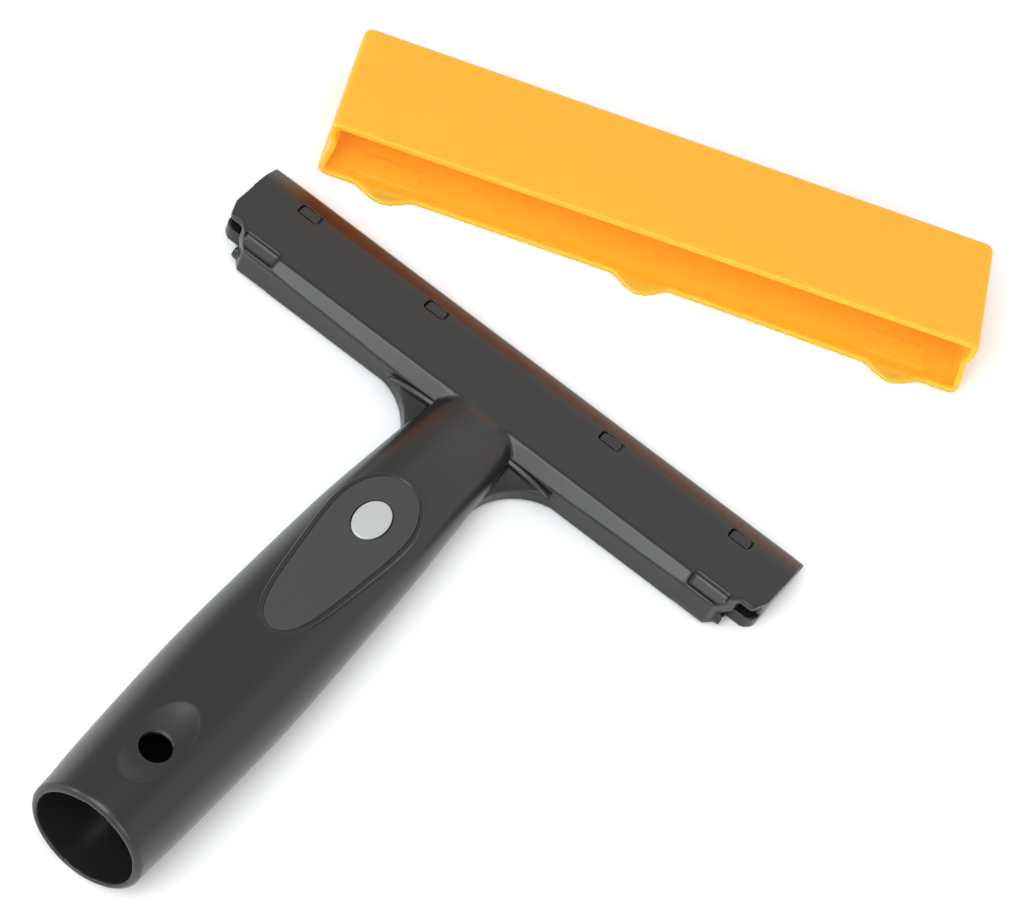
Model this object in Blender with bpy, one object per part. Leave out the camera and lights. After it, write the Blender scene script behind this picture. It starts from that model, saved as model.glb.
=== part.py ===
"""Glass scraper with a 150 mm blade, in metres, +Z up.

A hollow tapered handle is moulded in one with the upper jaw of a wide head. A lower
clamp jaw hinges on two short pins at the rear of the head and presses the blade against
the upper jaw. Four pegs on the clamp jaw pass through slots in the blade and show in four
small windows near the front edge. An oval button in a teardrop panel pushes a stem down,
and the stem's slanted leg draws a latch bar back from a catch on the clamp jaw. A spring
lifts the button again. The blade cover is a separate sleeve that lies in front of the head,
as it does when it has been taken off.

The origin is at the middle of the clamp jaw's flat underside. The blade's edge faces +Y
and the handle runs towards -Y, down to its open mouth, which rests on the same surface.
"""

import math

import bmesh
import bpy
from mathutils import Matrix, Vector

# Clearances
FIT_GAP = 0.0003
PIN_GAP = 0.0002
OVERRUN = 0.003

# Head, seen from above and from its end
END_MARGIN = 0.0030
FACET_DEPTH = 0.0024
HEAD_HEIGHT = 0.0110
CREST_HEIGHT = 0.0090
CREST_INSET = 0.0002
CREST_NECK_HEIGHT = 0.0073
CREST_NECK_LEAN = 0.0008
LIP_HEIGHT = 0.0038
LIP_THICKNESS = 0.0007
BEVEL_DEPTH = 0.0065
BEVEL_HEIGHT = 0.0074
BEVEL_SWELL_SHARE = 0.8
PLATE_WALL = 0.0022
END_WALL = 0.0017
END_TAPER = 0.0005
END_TAPER_LENGTH = 0.0037
CORNER_INSET = 0.0022
CORNER_MARGIN = 0.0010
CORNER_RADIUS = 0.0012
CORNER_SLOT = 0.0004
RIDGE_TOP_INSET = 0.0061
RIDGE_TOP_MARGIN = 0.0015
RIDGE_INSET = 0.0101
RIDGE_CLEARANCE = 0.0005
CREST_RADIUS = 0.0010
PLATE_RADIUS = 0.0010
SEAT_SLOPE_SHARE = 0.075

# Coring and ribs under the head
CORE_WALL = 0.0014
CORE_MARGIN = 0.0002
RIB_WIDTH = 0.0015
RIBS_A_SIDE = 5
FIRST_RIB = 0.0090
CORNER_OPENING_LENGTH = 0.0022
CORNER_OPENING_TOP = 0.0086

# Cover pockets in the sloping rear face of the head
POCKET_INSET = 0.0080
POCKET_LENGTH = 0.0100
POCKET_DEPTH = 0.0011
POCKET_RISE = 0.0014
POCKET_EDGE_SHARE = 0.07

# Clamp jaw
JAW_BEHIND_BLADE = 0.0052
JAW_END_GAP = 0.0007
JAW_FRONT_GAP = 0.0004
JAW_FRONT_LOW = 0.0014
JAW_FRONT_TOP = 0.0022
JAW_RISE_DEPTH = 0.0052
JAW_CORNER = 0.0030

# Pegs of the clamp jaw, which hold the blade
PEG_MARGIN = 0.0119
PEG_INNER_SHARE = 0.4057
PEG_DEPTH = 0.0077
PEG_WIDTH = 0.0054
PEG_THICK = 0.0030
PEG_RADIUS = 0.0009
PEG_SINK = 0.0001
PEG_SWING = 0.0008

# Hinge
HINGE_SETBACK = 0.0028
HINGE_HEIGHT = 0.0023
RIDGE_SETBACK = 0.0003
RIDGE_THICKNESS = 0.0033
PIN_RADIUS = 0.0011
PIN_INSET = 0.0008
PIN_LENGTH = 0.0151
BOSS_RADIUS = 0.0018
BOSS_LENGTH = 0.0036
KNUCKLE_RADIUS = 0.0021
KNUCKLE_INSET = 0.0139
KNUCKLE_LENGTH = 0.0080

# Blade
BLADE_LENGTH = 0.1500
BLADE_WIDTH = 0.0180
BLADE_THICKNESS = 0.0003
BLADE_REACH = 0.0010
BLADE_GRIND = 0.0014
BLADE_EDGE = 0.00005

# Catch on the clamp jaw
CATCH_WIDTH = 0.0060
CATCH_GAP = 0.0004
CATCH_POST = 0.0016
CATCH_LIP = 0.0014
CATCH_TOP = 0.0069
CATCH_LIP_THICKNESS = 0.0006

# Handle
HANDLE_LENGTH = 0.1453
MOUTH_RADIUS = 0.0140
MOUTH_BEVEL = 0.0006
MOUTH_LEAN_SHARE = 0.045
MOUTH_LEAN_RUN_SHARE = 0.235
GRIP_HALF_WIDTH = 0.01565
NECK_HALF_WIDTH = 0.0121
NECK_RISE = 0.0013
NECK_LIFT = 0.0010
NECK_LIFT_RUN_SHARE = 0.5
NECK_BELLY_SHARE = 0.45
ROOT_HALF_WIDTH = 0.0111
ROOT_RISE = 0.0009
ROOT_SPREAD = 0.0080
ROOT_STEP = 0.0001
SOCKET_RADIUS = 0.0122
SOCKET_END_RADIUS = 0.0090
SOCKET_DEPTH = 0.0750
SOCKET_END_HEIGHT = 0.0122
LOCK_HOLE_RADIUS = 0.0036
LOCK_HOLE_DEPTH = 0.0201
DIMPLE_LENGTH = 0.0150
DIMPLE_WIDTH = 0.0200
DIMPLE_ROUND = 0.0032
DIMPLE_DEPTH = 0.0022
DIMPLE_SHIFT = 0.0008

# Webs between the neck and the head
WEB_RADIUS = 0.0160
WEB_SIDE = 0.0272
WEB_LOW = 0.0006
WEB_EDGE_HEIGHT = 0.0038
WEB_NECK_HEIGHT = 0.0070
WEB_TIP = 0.0012
BEAD_WIDTH = 0.0006
BEAD_RISE = 0.0005
BEAD_END = 0.0232

# Teardrop panel
PANEL_SETBACK = 0.0330
PANEL_LENGTH = 0.0525
PANEL_HALF_WIDTH = 0.0088
PANEL_WIDEST = 0.0177
PANEL_HEIGHT = 0.0228
PANEL_THICKNESS = 0.0020
PANEL_RIM = 0.0011
PANEL_SLOPE_SHARE = 0.055
PANEL_ROOT = 0.0080
TEARDROP_POWER_SHARE = 2.2

# Button, its spring and the latch
BUTTON_SETBACK = 0.0139
BUTTON_HALF_WIDTH = 0.00395
BUTTON_HALF_LENGTH = 0.00585
BUTTON_RISE = 0.0005
BUTTON_HEIGHT = 0.0023
BUTTON_TRAVEL = 0.0016
HEAD_PLATE_HEIGHT = 0.0014
STEM_WIDTH = 0.0034
STEM_LENGTH = 0.0050
STEM_REACH = 0.0049
LEG_LENGTH = 0.0021
LEG_SLOPE_SHARE = 0.6
SPRING_SEAT = 0.0108
SPRING_WELL_RADIUS = 0.0044
SPRING_WIRE = 0.00045
SPRING_RADIUS = 0.0037
SPRING_TURNS = 5
LATCH_WIDTH = 0.0090
LATCH_LOW = 0.0046
LATCH_THICKNESS = 0.0029
LATCH_PAST_BUTTON = 0.0088
LATCH_HOOK = 0.0006
LATCH_NOSE = 0.0032
LATCH_NOSE_THICKNESS = 0.0014

# Blade cover
COVER_CLEARANCE = 0.0027
COVER_WALL = 0.0015
COVER_DEPTH = 0.0358
COVER_HEIGHT = 0.0152
COVER_LIP_HEIGHT = 0.0027
COVER_LEAN = 0.0034
COVER_TAPER = 0.0008
COVER_CORNER = 0.0022
COVER_FRONT_CORNER = 0.0018
COVER_EDGE = 0.0010
COVER_X = 0.0038
COVER_Y = 0.05435
COVER_TURN_DEG = 22.7
LOBE_WIDTH = 0.0146
LOBE_REACH = 0.0031
MIDDLE_LOBE_REACH = 0.0037
LOBE_SPACING_SHARE = 0.8346
LOBE_POWER_SHARE = 1.2
LOBE_EDGE = 0.0008
SNAP_LENGTH = 0.0150
SNAP_DEPTH = 0.0060
SNAP_HEIGHT = 0.00025
SNAP_SETBACK = 0.0030
DENT_LENGTH = 0.0100
DENT_DEPTH = 0.0012
DENT_TOP = 0.0120
DENT_HEIGHT = 0.0093
DENT_RAMP = 0.0020

# Smoothness
RING_POINTS = 48
ROUND_POINTS = 24
WIRE_SIDES = 6
COIL_POINTS = 12
ARC_STEPS = 5

# Handle sections from the mouth to the rear wall of the head. Along: share of the handle's
# length. Width: share of the way from the neck's half width to the grip's. Top: share of
# the way from the neck's top to the mouth's. Belly: where the widest level lies between
# the underside and the top.
SECTION_SHARES = (
    (0.035, 0.56, 1.000, 0.500),
    (0.090, 0.70, 0.996, 0.490),
    (0.155, 0.81, 0.976, 0.485),
    (0.235, 0.92, 0.940, 0.475),
    (0.318, 1.00, 0.892, 0.465),
    (0.400, 0.99, 0.842, 0.460),
    (0.484, 0.90, 0.790, 0.455),
    (0.574, 0.80, 0.735, 0.450),
    (0.664, 0.67, 0.675, 0.450),
    (0.722, 0.56, 0.622, 0.450),
    (0.784, 0.39, 0.535, 0.450),
    (0.846, 0.22, 0.415, 0.450),
    (0.908, 0.06, 0.258, 0.450),
    (0.958, -0.10, 0.110, 0.450),
    (1.000, -0.25, 0.000, 0.450),
)

# Depths below are measured back from the front edge of the head.
BLADE_REAR = BLADE_WIDTH - BLADE_REACH
CORE_FRONT = PEG_DEPTH + PEG_THICK / 2 + CORE_WALL
CATCH_FRONT = BLADE_REAR + CATCH_GAP
CATCH_BACK = CATCH_FRONT + CATCH_POST + CATCH_LIP
JAW_DEPTH = BLADE_REAR + JAW_BEHIND_BLADE
END_STRAIGHT = JAW_DEPTH - END_TAPER_LENGTH
CORNER_OPENING_DEPTH = JAW_DEPTH - CORNER_OPENING_LENGTH
CORE_BACK = JAW_DEPTH - CORE_MARGIN
CORNER_DEPTH = JAW_DEPTH + CORNER_MARGIN
RIDGE_TOP_DEPTH = JAW_DEPTH + RIDGE_TOP_MARGIN
HINGE_DEPTH = JAW_DEPTH + HINGE_SETBACK
RIDGE_FRONT = HINGE_DEPTH + RIDGE_SETBACK
HEAD_DEPTH = HINGE_DEPTH + RIDGE_THICKNESS
PLATE_DEPTH = HEAD_DEPTH - FACET_DEPTH
PANEL_FRONT = HEAD_DEPTH + PANEL_SETBACK
BUTTON_DEPTH = PANEL_FRONT + BUTTON_SETBACK
LATCH_TIP = CATCH_BACK - LATCH_HOOK
LATCH_REAR = BUTTON_DEPTH + LATCH_PAST_BUTTON

HEAD_HALF = BLADE_LENGTH / 2 + END_MARGIN
RIDGE_TOP_HALF = HEAD_HALF - RIDGE_TOP_INSET
RIDGE_HALF = HEAD_HALF - RIDGE_INSET
JAW_HALF = HEAD_HALF - JAW_END_GAP
CORE_HALF = HEAD_HALF - END_TAPER - END_WALL
POCKET_OUTER = HEAD_HALF - POCKET_INSET
PEG_OUTER = BLADE_LENGTH / 2 - PEG_MARGIN
PEG_INNER = PEG_OUTER * PEG_INNER_SHARE
PEG_PLACES = (-PEG_OUTER, -PEG_INNER, PEG_INNER, PEG_OUTER)
PIN_OUTER = RIDGE_TOP_HALF - PIN_INSET
PIN_INNER = PIN_OUTER - PIN_LENGTH
KNUCKLE_INNER = RIDGE_TOP_HALF - KNUCKLE_INSET
KNUCKLE_OUTER = KNUCKLE_INNER + KNUCKLE_LENGTH
COVER_HALF = HEAD_HALF + COVER_CLEARANCE + COVER_WALL
LOBE_SPACING = HEAD_HALF * LOBE_SPACING_SHARE
FRONT_Y = (JAW_RISE_DEPTH + JAW_DEPTH) / 2
REAR_Y = FRONT_Y - HEAD_DEPTH
MOUTH_Y = REAR_Y - HANDLE_LENGTH
HINGE_Y = FRONT_Y - HINGE_DEPTH
BUTTON_Y = FRONT_Y - BUTTON_DEPTH
LATCH_TOP = LATCH_LOW + LATCH_THICKNESS
LATCH_TRAVEL = BUTTON_TRAVEL * LEG_SLOPE_SHARE
LEG_TOP = LATCH_TOP + FIT_GAP + BUTTON_TRAVEL


def mix(low, high, share):
    """A value this share of the way from low to high."""
    return low + (high - low) * share


def back(distance):
    """The Y of a place this far behind the head's front edge."""
    return FRONT_Y - distance


def seat_height(distance):
    """The upper jaw's seat for the blade, which climbs towards the rear."""
    return LIP_HEIGHT - LIP_THICKNESS + distance * SEAT_SLOPE_SHARE


def jaw_top(distance):
    """The clamp jaw's upper face, which lies parallel to the upper jaw's seat."""
    return JAW_FRONT_TOP + distance * SEAT_SLOPE_SHARE


def plate_top(distance):
    """The flat top of the head behind its front bevel."""
    share = (distance - BEVEL_DEPTH) / (PLATE_DEPTH - BEVEL_DEPTH)
    return mix(BEVEL_HEIGHT, HEAD_HEIGHT, share)


def panel_lift(y):
    """How much higher the teardrop panel's plane is at y than at the button."""
    return (BUTTON_Y - y) * PANEL_SLOPE_SHARE


def clear_scene():
    for obj in list(bpy.data.objects):
        bpy.data.objects.remove(obj, do_unlink=True)


def finish(name, colour, roughness, metallic=0.0):
    """A Principled material."""
    made = bpy.data.materials.new(name)
    made.use_nodes = True
    shader = made.node_tree.nodes["Principled BSDF"]
    shader.inputs["Base Color"].default_value = (*colour, 1.0)
    shader.inputs["Roughness"].default_value = roughness
    shader.inputs["Metallic"].default_value = metallic
    return made


def solid(name, mesh, material=None):
    """An object of a bmesh, which is freed."""
    bmesh.ops.recalc_face_normals(mesh, faces=mesh.faces)
    data = bpy.data.meshes.new(name)
    mesh.to_mesh(data)
    mesh.free()
    if material:
        data.materials.append(material)
    obj = bpy.data.objects.new(name, data)
    bpy.context.scene.collection.objects.link(obj)
    return obj


def bake(obj):
    """Gives the object the mesh that its modifiers make."""
    graph = bpy.context.evaluated_depsgraph_get()
    data = bpy.data.meshes.new_from_object(obj.evaluated_get(graph))
    obj.modifiers.clear()
    old = obj.data
    obj.data = data
    bpy.data.meshes.remove(old)


def combine(body, tool, operation):
    """An exact boolean that uses its tool up."""
    modifier = body.modifiers.new(operation.title(), "BOOLEAN")
    modifier.operation = operation
    modifier.solver = "EXACT"
    modifier.object = tool
    bake(body)
    bpy.data.objects.remove(tool, do_unlink=True)


def cut(body, mesh):
    combine(body, solid("cutter", mesh), "DIFFERENCE")


def join(body, mesh):
    combine(body, solid("addition", mesh), "UNION")


def keep(body, mesh):
    combine(body, solid("limit", mesh), "INTERSECT")


def smooth(obj, angle_deg=30.0):
    obj.data.shade_smooth()
    obj.data.set_sharp_from_angle(angle=math.radians(angle_deg))


def loft(rings):
    """A closed solid through rings of equal point counts, capped at both ends."""
    mesh = bmesh.new()
    rows = [[mesh.verts.new(point) for point in ring] for ring in rings]
    for first, second in zip(rows, rows[1:]):
        for i, vert in enumerate(first):
            j = (i + 1) % len(first)
            mesh.faces.new((vert, first[j], second[j], second[i]))
    mesh.faces.new(rows[0])
    mesh.faces.new(reversed(rows[-1]))
    return mesh


def prism_x(outline, low, high):
    """A solid from a (y, z) outline, between two X planes."""
    return loft([[(x, y, z) for y, z in outline] for x in (low, high)])


def prism_z(outline, low, high, lift=None):
    """A solid from an (x, y) outline, between two Z planes that may follow a slope."""
    rise = lift or (lambda y: 0.0)
    return loft([[(x, y, z + rise(y)) for x, y in outline] for z in (low, high)])


def rod(radius, start, end, end_radius=None, points=ROUND_POINTS):
    """A round bar or cone between two points."""
    start = Vector(start)
    end = Vector(end)
    turn = (end - start).to_track_quat("Z", "X")
    rings = []
    for centre, size in ((start, radius), (end, end_radius or radius)):
        angles = [math.tau * i / points for i in range(points)]
        ring = [Vector((math.cos(a) * size, math.sin(a) * size, 0.0)) for a in angles]
        rings.append([centre + turn @ point for point in ring])
    return loft(rings)


def rounded(corners, radii):
    """An outline with each corner rounded to its radius. A radius of zero stays sharp."""
    points = []
    for i, corner in enumerate(corners):
        here = Vector(corner)
        before = (Vector(corners[i - 1]) - here).normalized()
        after = (Vector(corners[(i + 1) % len(corners)]) - here).normalized()
        if not radii[i]:
            points.append(tuple(here))
            continue
        half = before.angle(after) / 2
        start = here + before * (radii[i] / math.tan(half))
        end = here + after * (radii[i] / math.tan(half))
        centre = here + (before + after).normalized() * (radii[i] / math.sin(half))
        for step in range(ARC_STEPS + 1):
            way = start.lerp(end, step / ARC_STEPS) - centre
            points.append(tuple(centre + way.normalized() * radii[i]))
    return points


def rectangle(x_low, x_high, y_low, y_high):
    return [(x_low, y_low), (x_high, y_low), (x_high, y_high), (x_low, y_high)]


def coil(name, start, end, radius, wire, turns, material):
    """A spring of round wire around the line between two points."""
    start = Vector(start)
    turn = (Vector(end) - start).to_track_quat("Z", "X")
    height = (Vector(end) - start).length
    pitch = (height - wire * 2) / turns
    lean = math.atan2(pitch, math.tau * radius)
    rings = []
    for i in range(turns * COIL_POINTS + 1):
        angle = math.tau * i / COIL_POINTS
        outward = Vector((math.cos(angle), math.sin(angle), 0.0))
        ahead = Vector((-math.sin(angle), math.cos(angle), math.tan(lean))).normalized()
        across = outward.cross(ahead)
        centre = outward * radius + Vector((0.0, 0.0, wire + pitch * i / COIL_POINTS))
        sides = [math.tau * k / WIRE_SIDES for k in range(WIRE_SIDES)]
        around = [(outward * math.cos(a) + across * math.sin(a)) * wire for a in sides]
        rings.append([start + turn @ (centre + reach) for reach in around])
    spring = solid(name, loft(rings), material)
    smooth(spring, 60.0)
    return spring


# Handle and upper jaw


def section(y, half_width, top, bottom, belly_share, lean_share=0.0):
    """A ring of the handle: two half ellipses that meet at the widest level.

    A leaning ring lies further back the lower it is.
    """
    level = mix(bottom, top, belly_share)
    ring = []
    for i in range(RING_POINTS):
        angle = math.tau * i / RING_POINTS
        height = top - level if math.sin(angle) >= 0 else level - bottom
        z = level + height * math.sin(angle)
        ring.append((half_width * math.cos(angle), y - (top - z) * lean_share, z))
    return ring


def handle_rings():
    """The handle's rings from its mouth to the neck's root, which sinks into the plate."""
    mouth_top = MOUTH_RADIUS * 2
    neck_top = HEAD_HEIGHT + NECK_RISE
    rim = MOUTH_RADIUS - MOUTH_BEVEL
    rings = [
        section(MOUTH_Y, rim, mouth_top - MOUTH_BEVEL, MOUTH_BEVEL, 0.5, MOUTH_LEAN_SHARE),
        section(MOUTH_Y + MOUTH_BEVEL, MOUTH_RADIUS, mouth_top, 0.0, 0.5, MOUTH_LEAN_SHARE),
    ]
    for along, width, top, belly in SECTION_SHARES:
        rings.append(
            section(
                MOUTH_Y + HANDLE_LENGTH * along,
                mix(NECK_HALF_WIDTH, GRIP_HALF_WIDTH, width),
                mix(neck_top, mouth_top, top),
                NECK_LIFT * min(1.0, along / NECK_LIFT_RUN_SHARE),
                belly,
                MOUTH_LEAN_SHARE * max(0.0, 1 - along / MOUTH_LEAN_RUN_SHARE),
            )
        )
    for distance, rise in ((PLATE_DEPTH, ROOT_RISE), (PLATE_DEPTH - ROOT_SPREAD, 0.0)):
        limit = plate_top(distance) + mix(-ROOT_STEP, ROOT_STEP, float(rise > 0))
        top = plate_top(distance) + rise
        ring = section(back(distance), ROOT_HALF_WIDTH, top, NECK_LIFT, NECK_BELLY_SHARE)
        rings.append([(x, y, min(z, limit)) for x, y, z in ring])
    return rings


def crest(neck_share):
    """The lower edge of the sloping rear face, which drops and leans back at the neck."""
    distance = HEAD_DEPTH - CREST_INSET + (CREST_INSET + CREST_NECK_LEAN) * neck_share
    return Vector((back(distance), mix(CREST_HEIGHT, CREST_NECK_HEIGHT, neck_share)))


def head_profile(neck_share):
    """The head's (y, z) outline at one of its ends or at the neck."""
    bevel = []
    for step in range(ARC_STEPS + 1):
        share = step / ARC_STEPS
        distance = BEVEL_DEPTH * share
        swell = math.sin(share * math.pi) * LIP_THICKNESS * BEVEL_SWELL_SHARE
        bevel.append((back(distance), mix(LIP_HEIGHT, BEVEL_HEIGHT, share) + swell))
    corners = bevel + [
        (back(PLATE_DEPTH), HEAD_HEIGHT),
        tuple(crest(neck_share)),
        (back(HEAD_DEPTH), RIDGE_CLEARANCE),
        (back(HINGE_DEPTH), RIDGE_CLEARANCE),
        (back(0.0), seat_height(0.0)),
    ]
    radii = [0.0] * len(bevel) + [PLATE_RADIUS, CREST_RADIUS, 0.0, 0.0, 0.0]
    return rounded(corners, radii)


def head_bar():
    """The head's profile from end to end, before its plan is cut."""
    half = HEAD_HALF + OVERRUN
    places = ((-half, 0.0), (-NECK_HALF_WIDTH, 1.0), (NECK_HALF_WIDTH, 1.0), (half, 0.0))
    return loft([[(x, y, z) for y, z in head_profile(share)] for x, share in places])


def head_plan():
    """The head from above: straight ends, cut rear corners and the ridge's slanted ends."""
    end = HEAD_HALF
    slot = RIDGE_TOP_HALF
    slope_share = OVERRUN / (HEAD_DEPTH - RIDGE_TOP_DEPTH)
    past_end = mix(RIDGE_HALF, slot, -slope_share)
    half = [
        (end, back(-OVERRUN), 0.0),
        (end, back(0.0), 0.0),
        (end - END_TAPER, back(END_STRAIGHT), 0.0),
        (end - CORNER_INSET, back(CORNER_DEPTH), CORNER_RADIUS),
        (slot + CORNER_SLOT, back(CORNER_DEPTH), 0.0),
        (slot + CORNER_SLOT, back(JAW_DEPTH), 0.0),
        (slot, back(JAW_DEPTH), 0.0),
        (slot, back(RIDGE_TOP_DEPTH), 0.0),
        (past_end, back(HEAD_DEPTH + OVERRUN), 0.0),
    ]
    corners = half + [(-x, y, radius) for x, y, radius in reversed(half)]
    return rounded([(x, y) for x, y, _ in corners], [radius for _, _, radius in corners])


def web(side):
    """A web in one corner of neck and head. Its top falls to a hollow outer edge."""
    centre_y = REAR_Y - WEB_RADIUS + FIT_GAP
    inside = REAR_Y + CREST_INSET + FIT_GAP
    rings = []
    steps = ARC_STEPS * 2
    for step in range(steps + 1):
        angle = mix(math.pi / 2, math.pi, step / steps)
        x = WEB_SIDE + math.cos(angle) * WEB_RADIUS
        y = centre_y + math.sin(angle) * WEB_RADIUS - WEB_TIP * step / steps
        top = mix(WEB_EDGE_HEIGHT, WEB_NECK_HEIGHT, step / steps)
        ring = [(x, y, WEB_LOW), (x, y, WEB_EDGE_HEIGHT), (x, inside, top), (x, inside, WEB_LOW)]
        rings.append([(place_x * side, place_y, z) for place_x, place_y, z in ring])
    return loft(rings)


def web_bead(side):
    """The thin bead along the top of a web, down the head's rear wall."""
    rings = []
    for share, x in ((0.0, NECK_HALF_WIDTH / 2), (1.0, BEAD_END)):
        top = mix(WEB_NECK_HEIGHT, WEB_EDGE_HEIGHT, share) + BEAD_RISE
        low = top - BEAD_RISE * 2
        outer = REAR_Y - BEAD_WIDTH - CREST_NECK_LEAN * (1.0 - share)
        inner = REAR_Y + FIT_GAP
        ring = [(outer, low), (outer, top), (inner, top), (inner, low)]
        rings.append([(x * side, y, z) for y, z in ring])
    return loft(rings)


def teardrop(grow):
    """The panel's outline from above: a short round front and a long tapering rear."""
    centre_y = FRONT_Y - PANEL_FRONT - PANEL_WIDEST
    points = []
    for i in range(RING_POINTS):
        angle = math.tau * i / RING_POINTS
        reach = PANEL_WIDEST if math.sin(angle) >= 0 else PANEL_LENGTH - PANEL_WIDEST
        x = blunt(math.cos(angle), TEARDROP_POWER_SHARE) * (PANEL_HALF_WIDTH + grow)
        y = blunt(math.sin(angle), TEARDROP_POWER_SHARE) * (reach + grow)
        points.append((x, centre_y + y))
    return points


def oval(half_width, half_length):
    angles = [math.tau * i / ROUND_POINTS for i in range(ROUND_POINTS)]
    return [
        (half_width * math.cos(a), BUTTON_Y + half_length * math.sin(a)) for a in angles
    ]


def blunt(value, power):
    """A superellipse's cosine or sine, which gives it fuller corners."""
    return math.copysign(abs(value) ** (2 / power), value)


def cut_head(body):
    """The space for the clamp jaw and blade, the coring with its ribs, and the windows."""
    half = HEAD_HALF + OVERRUN
    space = [
        (back(-OVERRUN), -OVERRUN),
        (back(-OVERRUN), seat_height(-OVERRUN)),
        (back(RIDGE_FRONT), seat_height(RIDGE_FRONT)),
        (back(RIDGE_FRONT), -OVERRUN),
    ]
    cut(body, prism_x(space, -half, half))
    core = [
        (back(CORE_FRONT), seat_height(CORE_FRONT) - OVERRUN),
        (back(CORE_FRONT), plate_top(CORE_FRONT) - PLATE_WALL),
        (back(CORE_BACK), plate_top(CORE_BACK) - PLATE_WALL),
        (back(CORE_BACK), seat_height(CORE_BACK) - OVERRUN),
    ]
    cut(body, prism_x(core, -FIRST_RIB, FIRST_RIB))
    for i in range(RIBS_A_SIDE):
        start = mix(FIRST_RIB, CORE_HALF, i / RIBS_A_SIDE) + RIB_WIDTH
        end = mix(FIRST_RIB, CORE_HALF, (i + 1) / RIBS_A_SIDE)
        cut(body, prism_x(core, start, end))
        cut(body, prism_x(core, -end, -start))
    corner = [
        (back(CORNER_OPENING_DEPTH), seat_height(CORNER_OPENING_DEPTH) - OVERRUN),
        (back(CORNER_OPENING_DEPTH), CORNER_OPENING_TOP),
        (back(HEAD_DEPTH), CORNER_OPENING_TOP),
        (back(HEAD_DEPTH), seat_height(CORNER_OPENING_DEPTH) - OVERRUN),
    ]
    for side in (-1, 1):
        ends = sorted((side * (RIDGE_TOP_HALF + CORNER_SLOT), side * half))
        cut(body, prism_x(corner, *ends))


def cut_windows(body):
    """The four windows for the jaw's pegs, wider below because the pegs swing forward."""
    for x in PEG_PLACES:
        wide = peg_outline(x, FIT_GAP, FIT_GAP + PEG_SWING)
        tight = peg_outline(x, FIT_GAP, FIT_GAP)
        levels = (
            (wide, LIP_THICKNESS),
            (wide, seat_height(PEG_DEPTH)),
            (tight, plate_top(PEG_DEPTH)),
            (tight, HEAD_HEIGHT),
        )
        cut(body, loft([[(px, py, z) for px, py in outline] for outline, z in levels]))


def cut_hinge(body):
    """A pocket for each knuckle, open below, and the holes that hold the pins."""
    room = KNUCKLE_RADIUS + FIT_GAP
    for side in (-1, 1):
        inner = side * (KNUCKLE_INNER - FIT_GAP)
        outer = side * (KNUCKLE_OUTER + FIT_GAP)
        ends = sorted((inner, outer))
        slot = [
            (HINGE_Y - room, -OVERRUN),
            (HINGE_Y + room, -OVERRUN),
            (HINGE_Y + room, HINGE_HEIGHT + room),
            (HINGE_Y, HINGE_HEIGHT + room),
        ]
        last = ROUND_POINTS // 2
        turn = [math.tau * i / ROUND_POINTS for i in range(last // 2 + 1, last + 1)]
        slot += [(HINGE_Y + math.cos(a) * room, HINGE_HEIGHT + math.sin(a) * room) for a in turn]
        cut(body, prism_x(slot, *ends))
        start = (side * PIN_INNER, HINGE_Y, HINGE_HEIGHT)
        end = (side * (PIN_OUTER + OVERRUN), HINGE_Y, HINGE_HEIGHT)
        cut(body, rod(PIN_RADIUS + PIN_GAP, start, end))


def cut_cover_pockets(body):
    """A shallow rectangular pocket near each end of the sloping rear face."""
    top = Vector((back(PLATE_DEPTH), HEAD_HEIGHT))
    low = crest(0.0)
    along = (low - top).normalized()
    inward = Vector((-along.y, along.x))
    first = Vector((back(PLATE_DEPTH - POCKET_RISE), plate_top(PLATE_DEPTH - POCKET_RISE)))
    last = top.lerp(low, 1 - POCKET_EDGE_SHARE)
    outline = [
        first + Vector((0.0, OVERRUN)),
        last - inward * OVERRUN,
        last + inward * POCKET_DEPTH,
        first - Vector((0.0, POCKET_DEPTH)),
    ]
    for side in (-1, 1):
        ends = sorted((side * (POCKET_OUTER - POCKET_LENGTH), side * POCKET_OUTER))
        cut(body, prism_x([tuple(point) for point in outline], *ends))


def cut_handle(body):
    """The pole socket, the lock hole in its dimple, and the room for the latch parts."""
    mouth = (0.0, MOUTH_Y, MOUTH_RADIUS)
    bottom = (0.0, MOUTH_Y + SOCKET_DEPTH, SOCKET_END_HEIGHT)
    growth = (SOCKET_RADIUS - SOCKET_END_RADIUS) / SOCKET_DEPTH
    outside = Vector(mouth).lerp(Vector(bottom), -OVERRUN / SOCKET_DEPTH)
    wide = SOCKET_RADIUS + growth * OVERRUN
    cut(body, rod(wide, outside, bottom, SOCKET_END_RADIUS, RING_POINTS))
    hole_y = MOUTH_Y + LOCK_HOLE_DEPTH
    top = MOUTH_RADIUS * 2
    dimple = bmesh.new()
    sides = {"u_segments": RING_POINTS, "v_segments": ROUND_POINTS}
    bmesh.ops.create_uvsphere(dimple, radius=1.0, **sides)
    shape = Matrix.Diagonal((DIMPLE_WIDTH, DIMPLE_LENGTH, DIMPLE_ROUND, 1.0))
    place = Matrix.Translation((0.0, hole_y + DIMPLE_SHIFT, top + DIMPLE_ROUND - DIMPLE_DEPTH))
    bmesh.ops.transform(dimple, matrix=place @ shape, verts=dimple.verts)
    cut(body, dimple)
    start = (0.0, hole_y, MOUTH_RADIUS)
    cut(body, rod(LOCK_HOLE_RADIUS, start, (0.0, hole_y, top + OVERRUN)))


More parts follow.
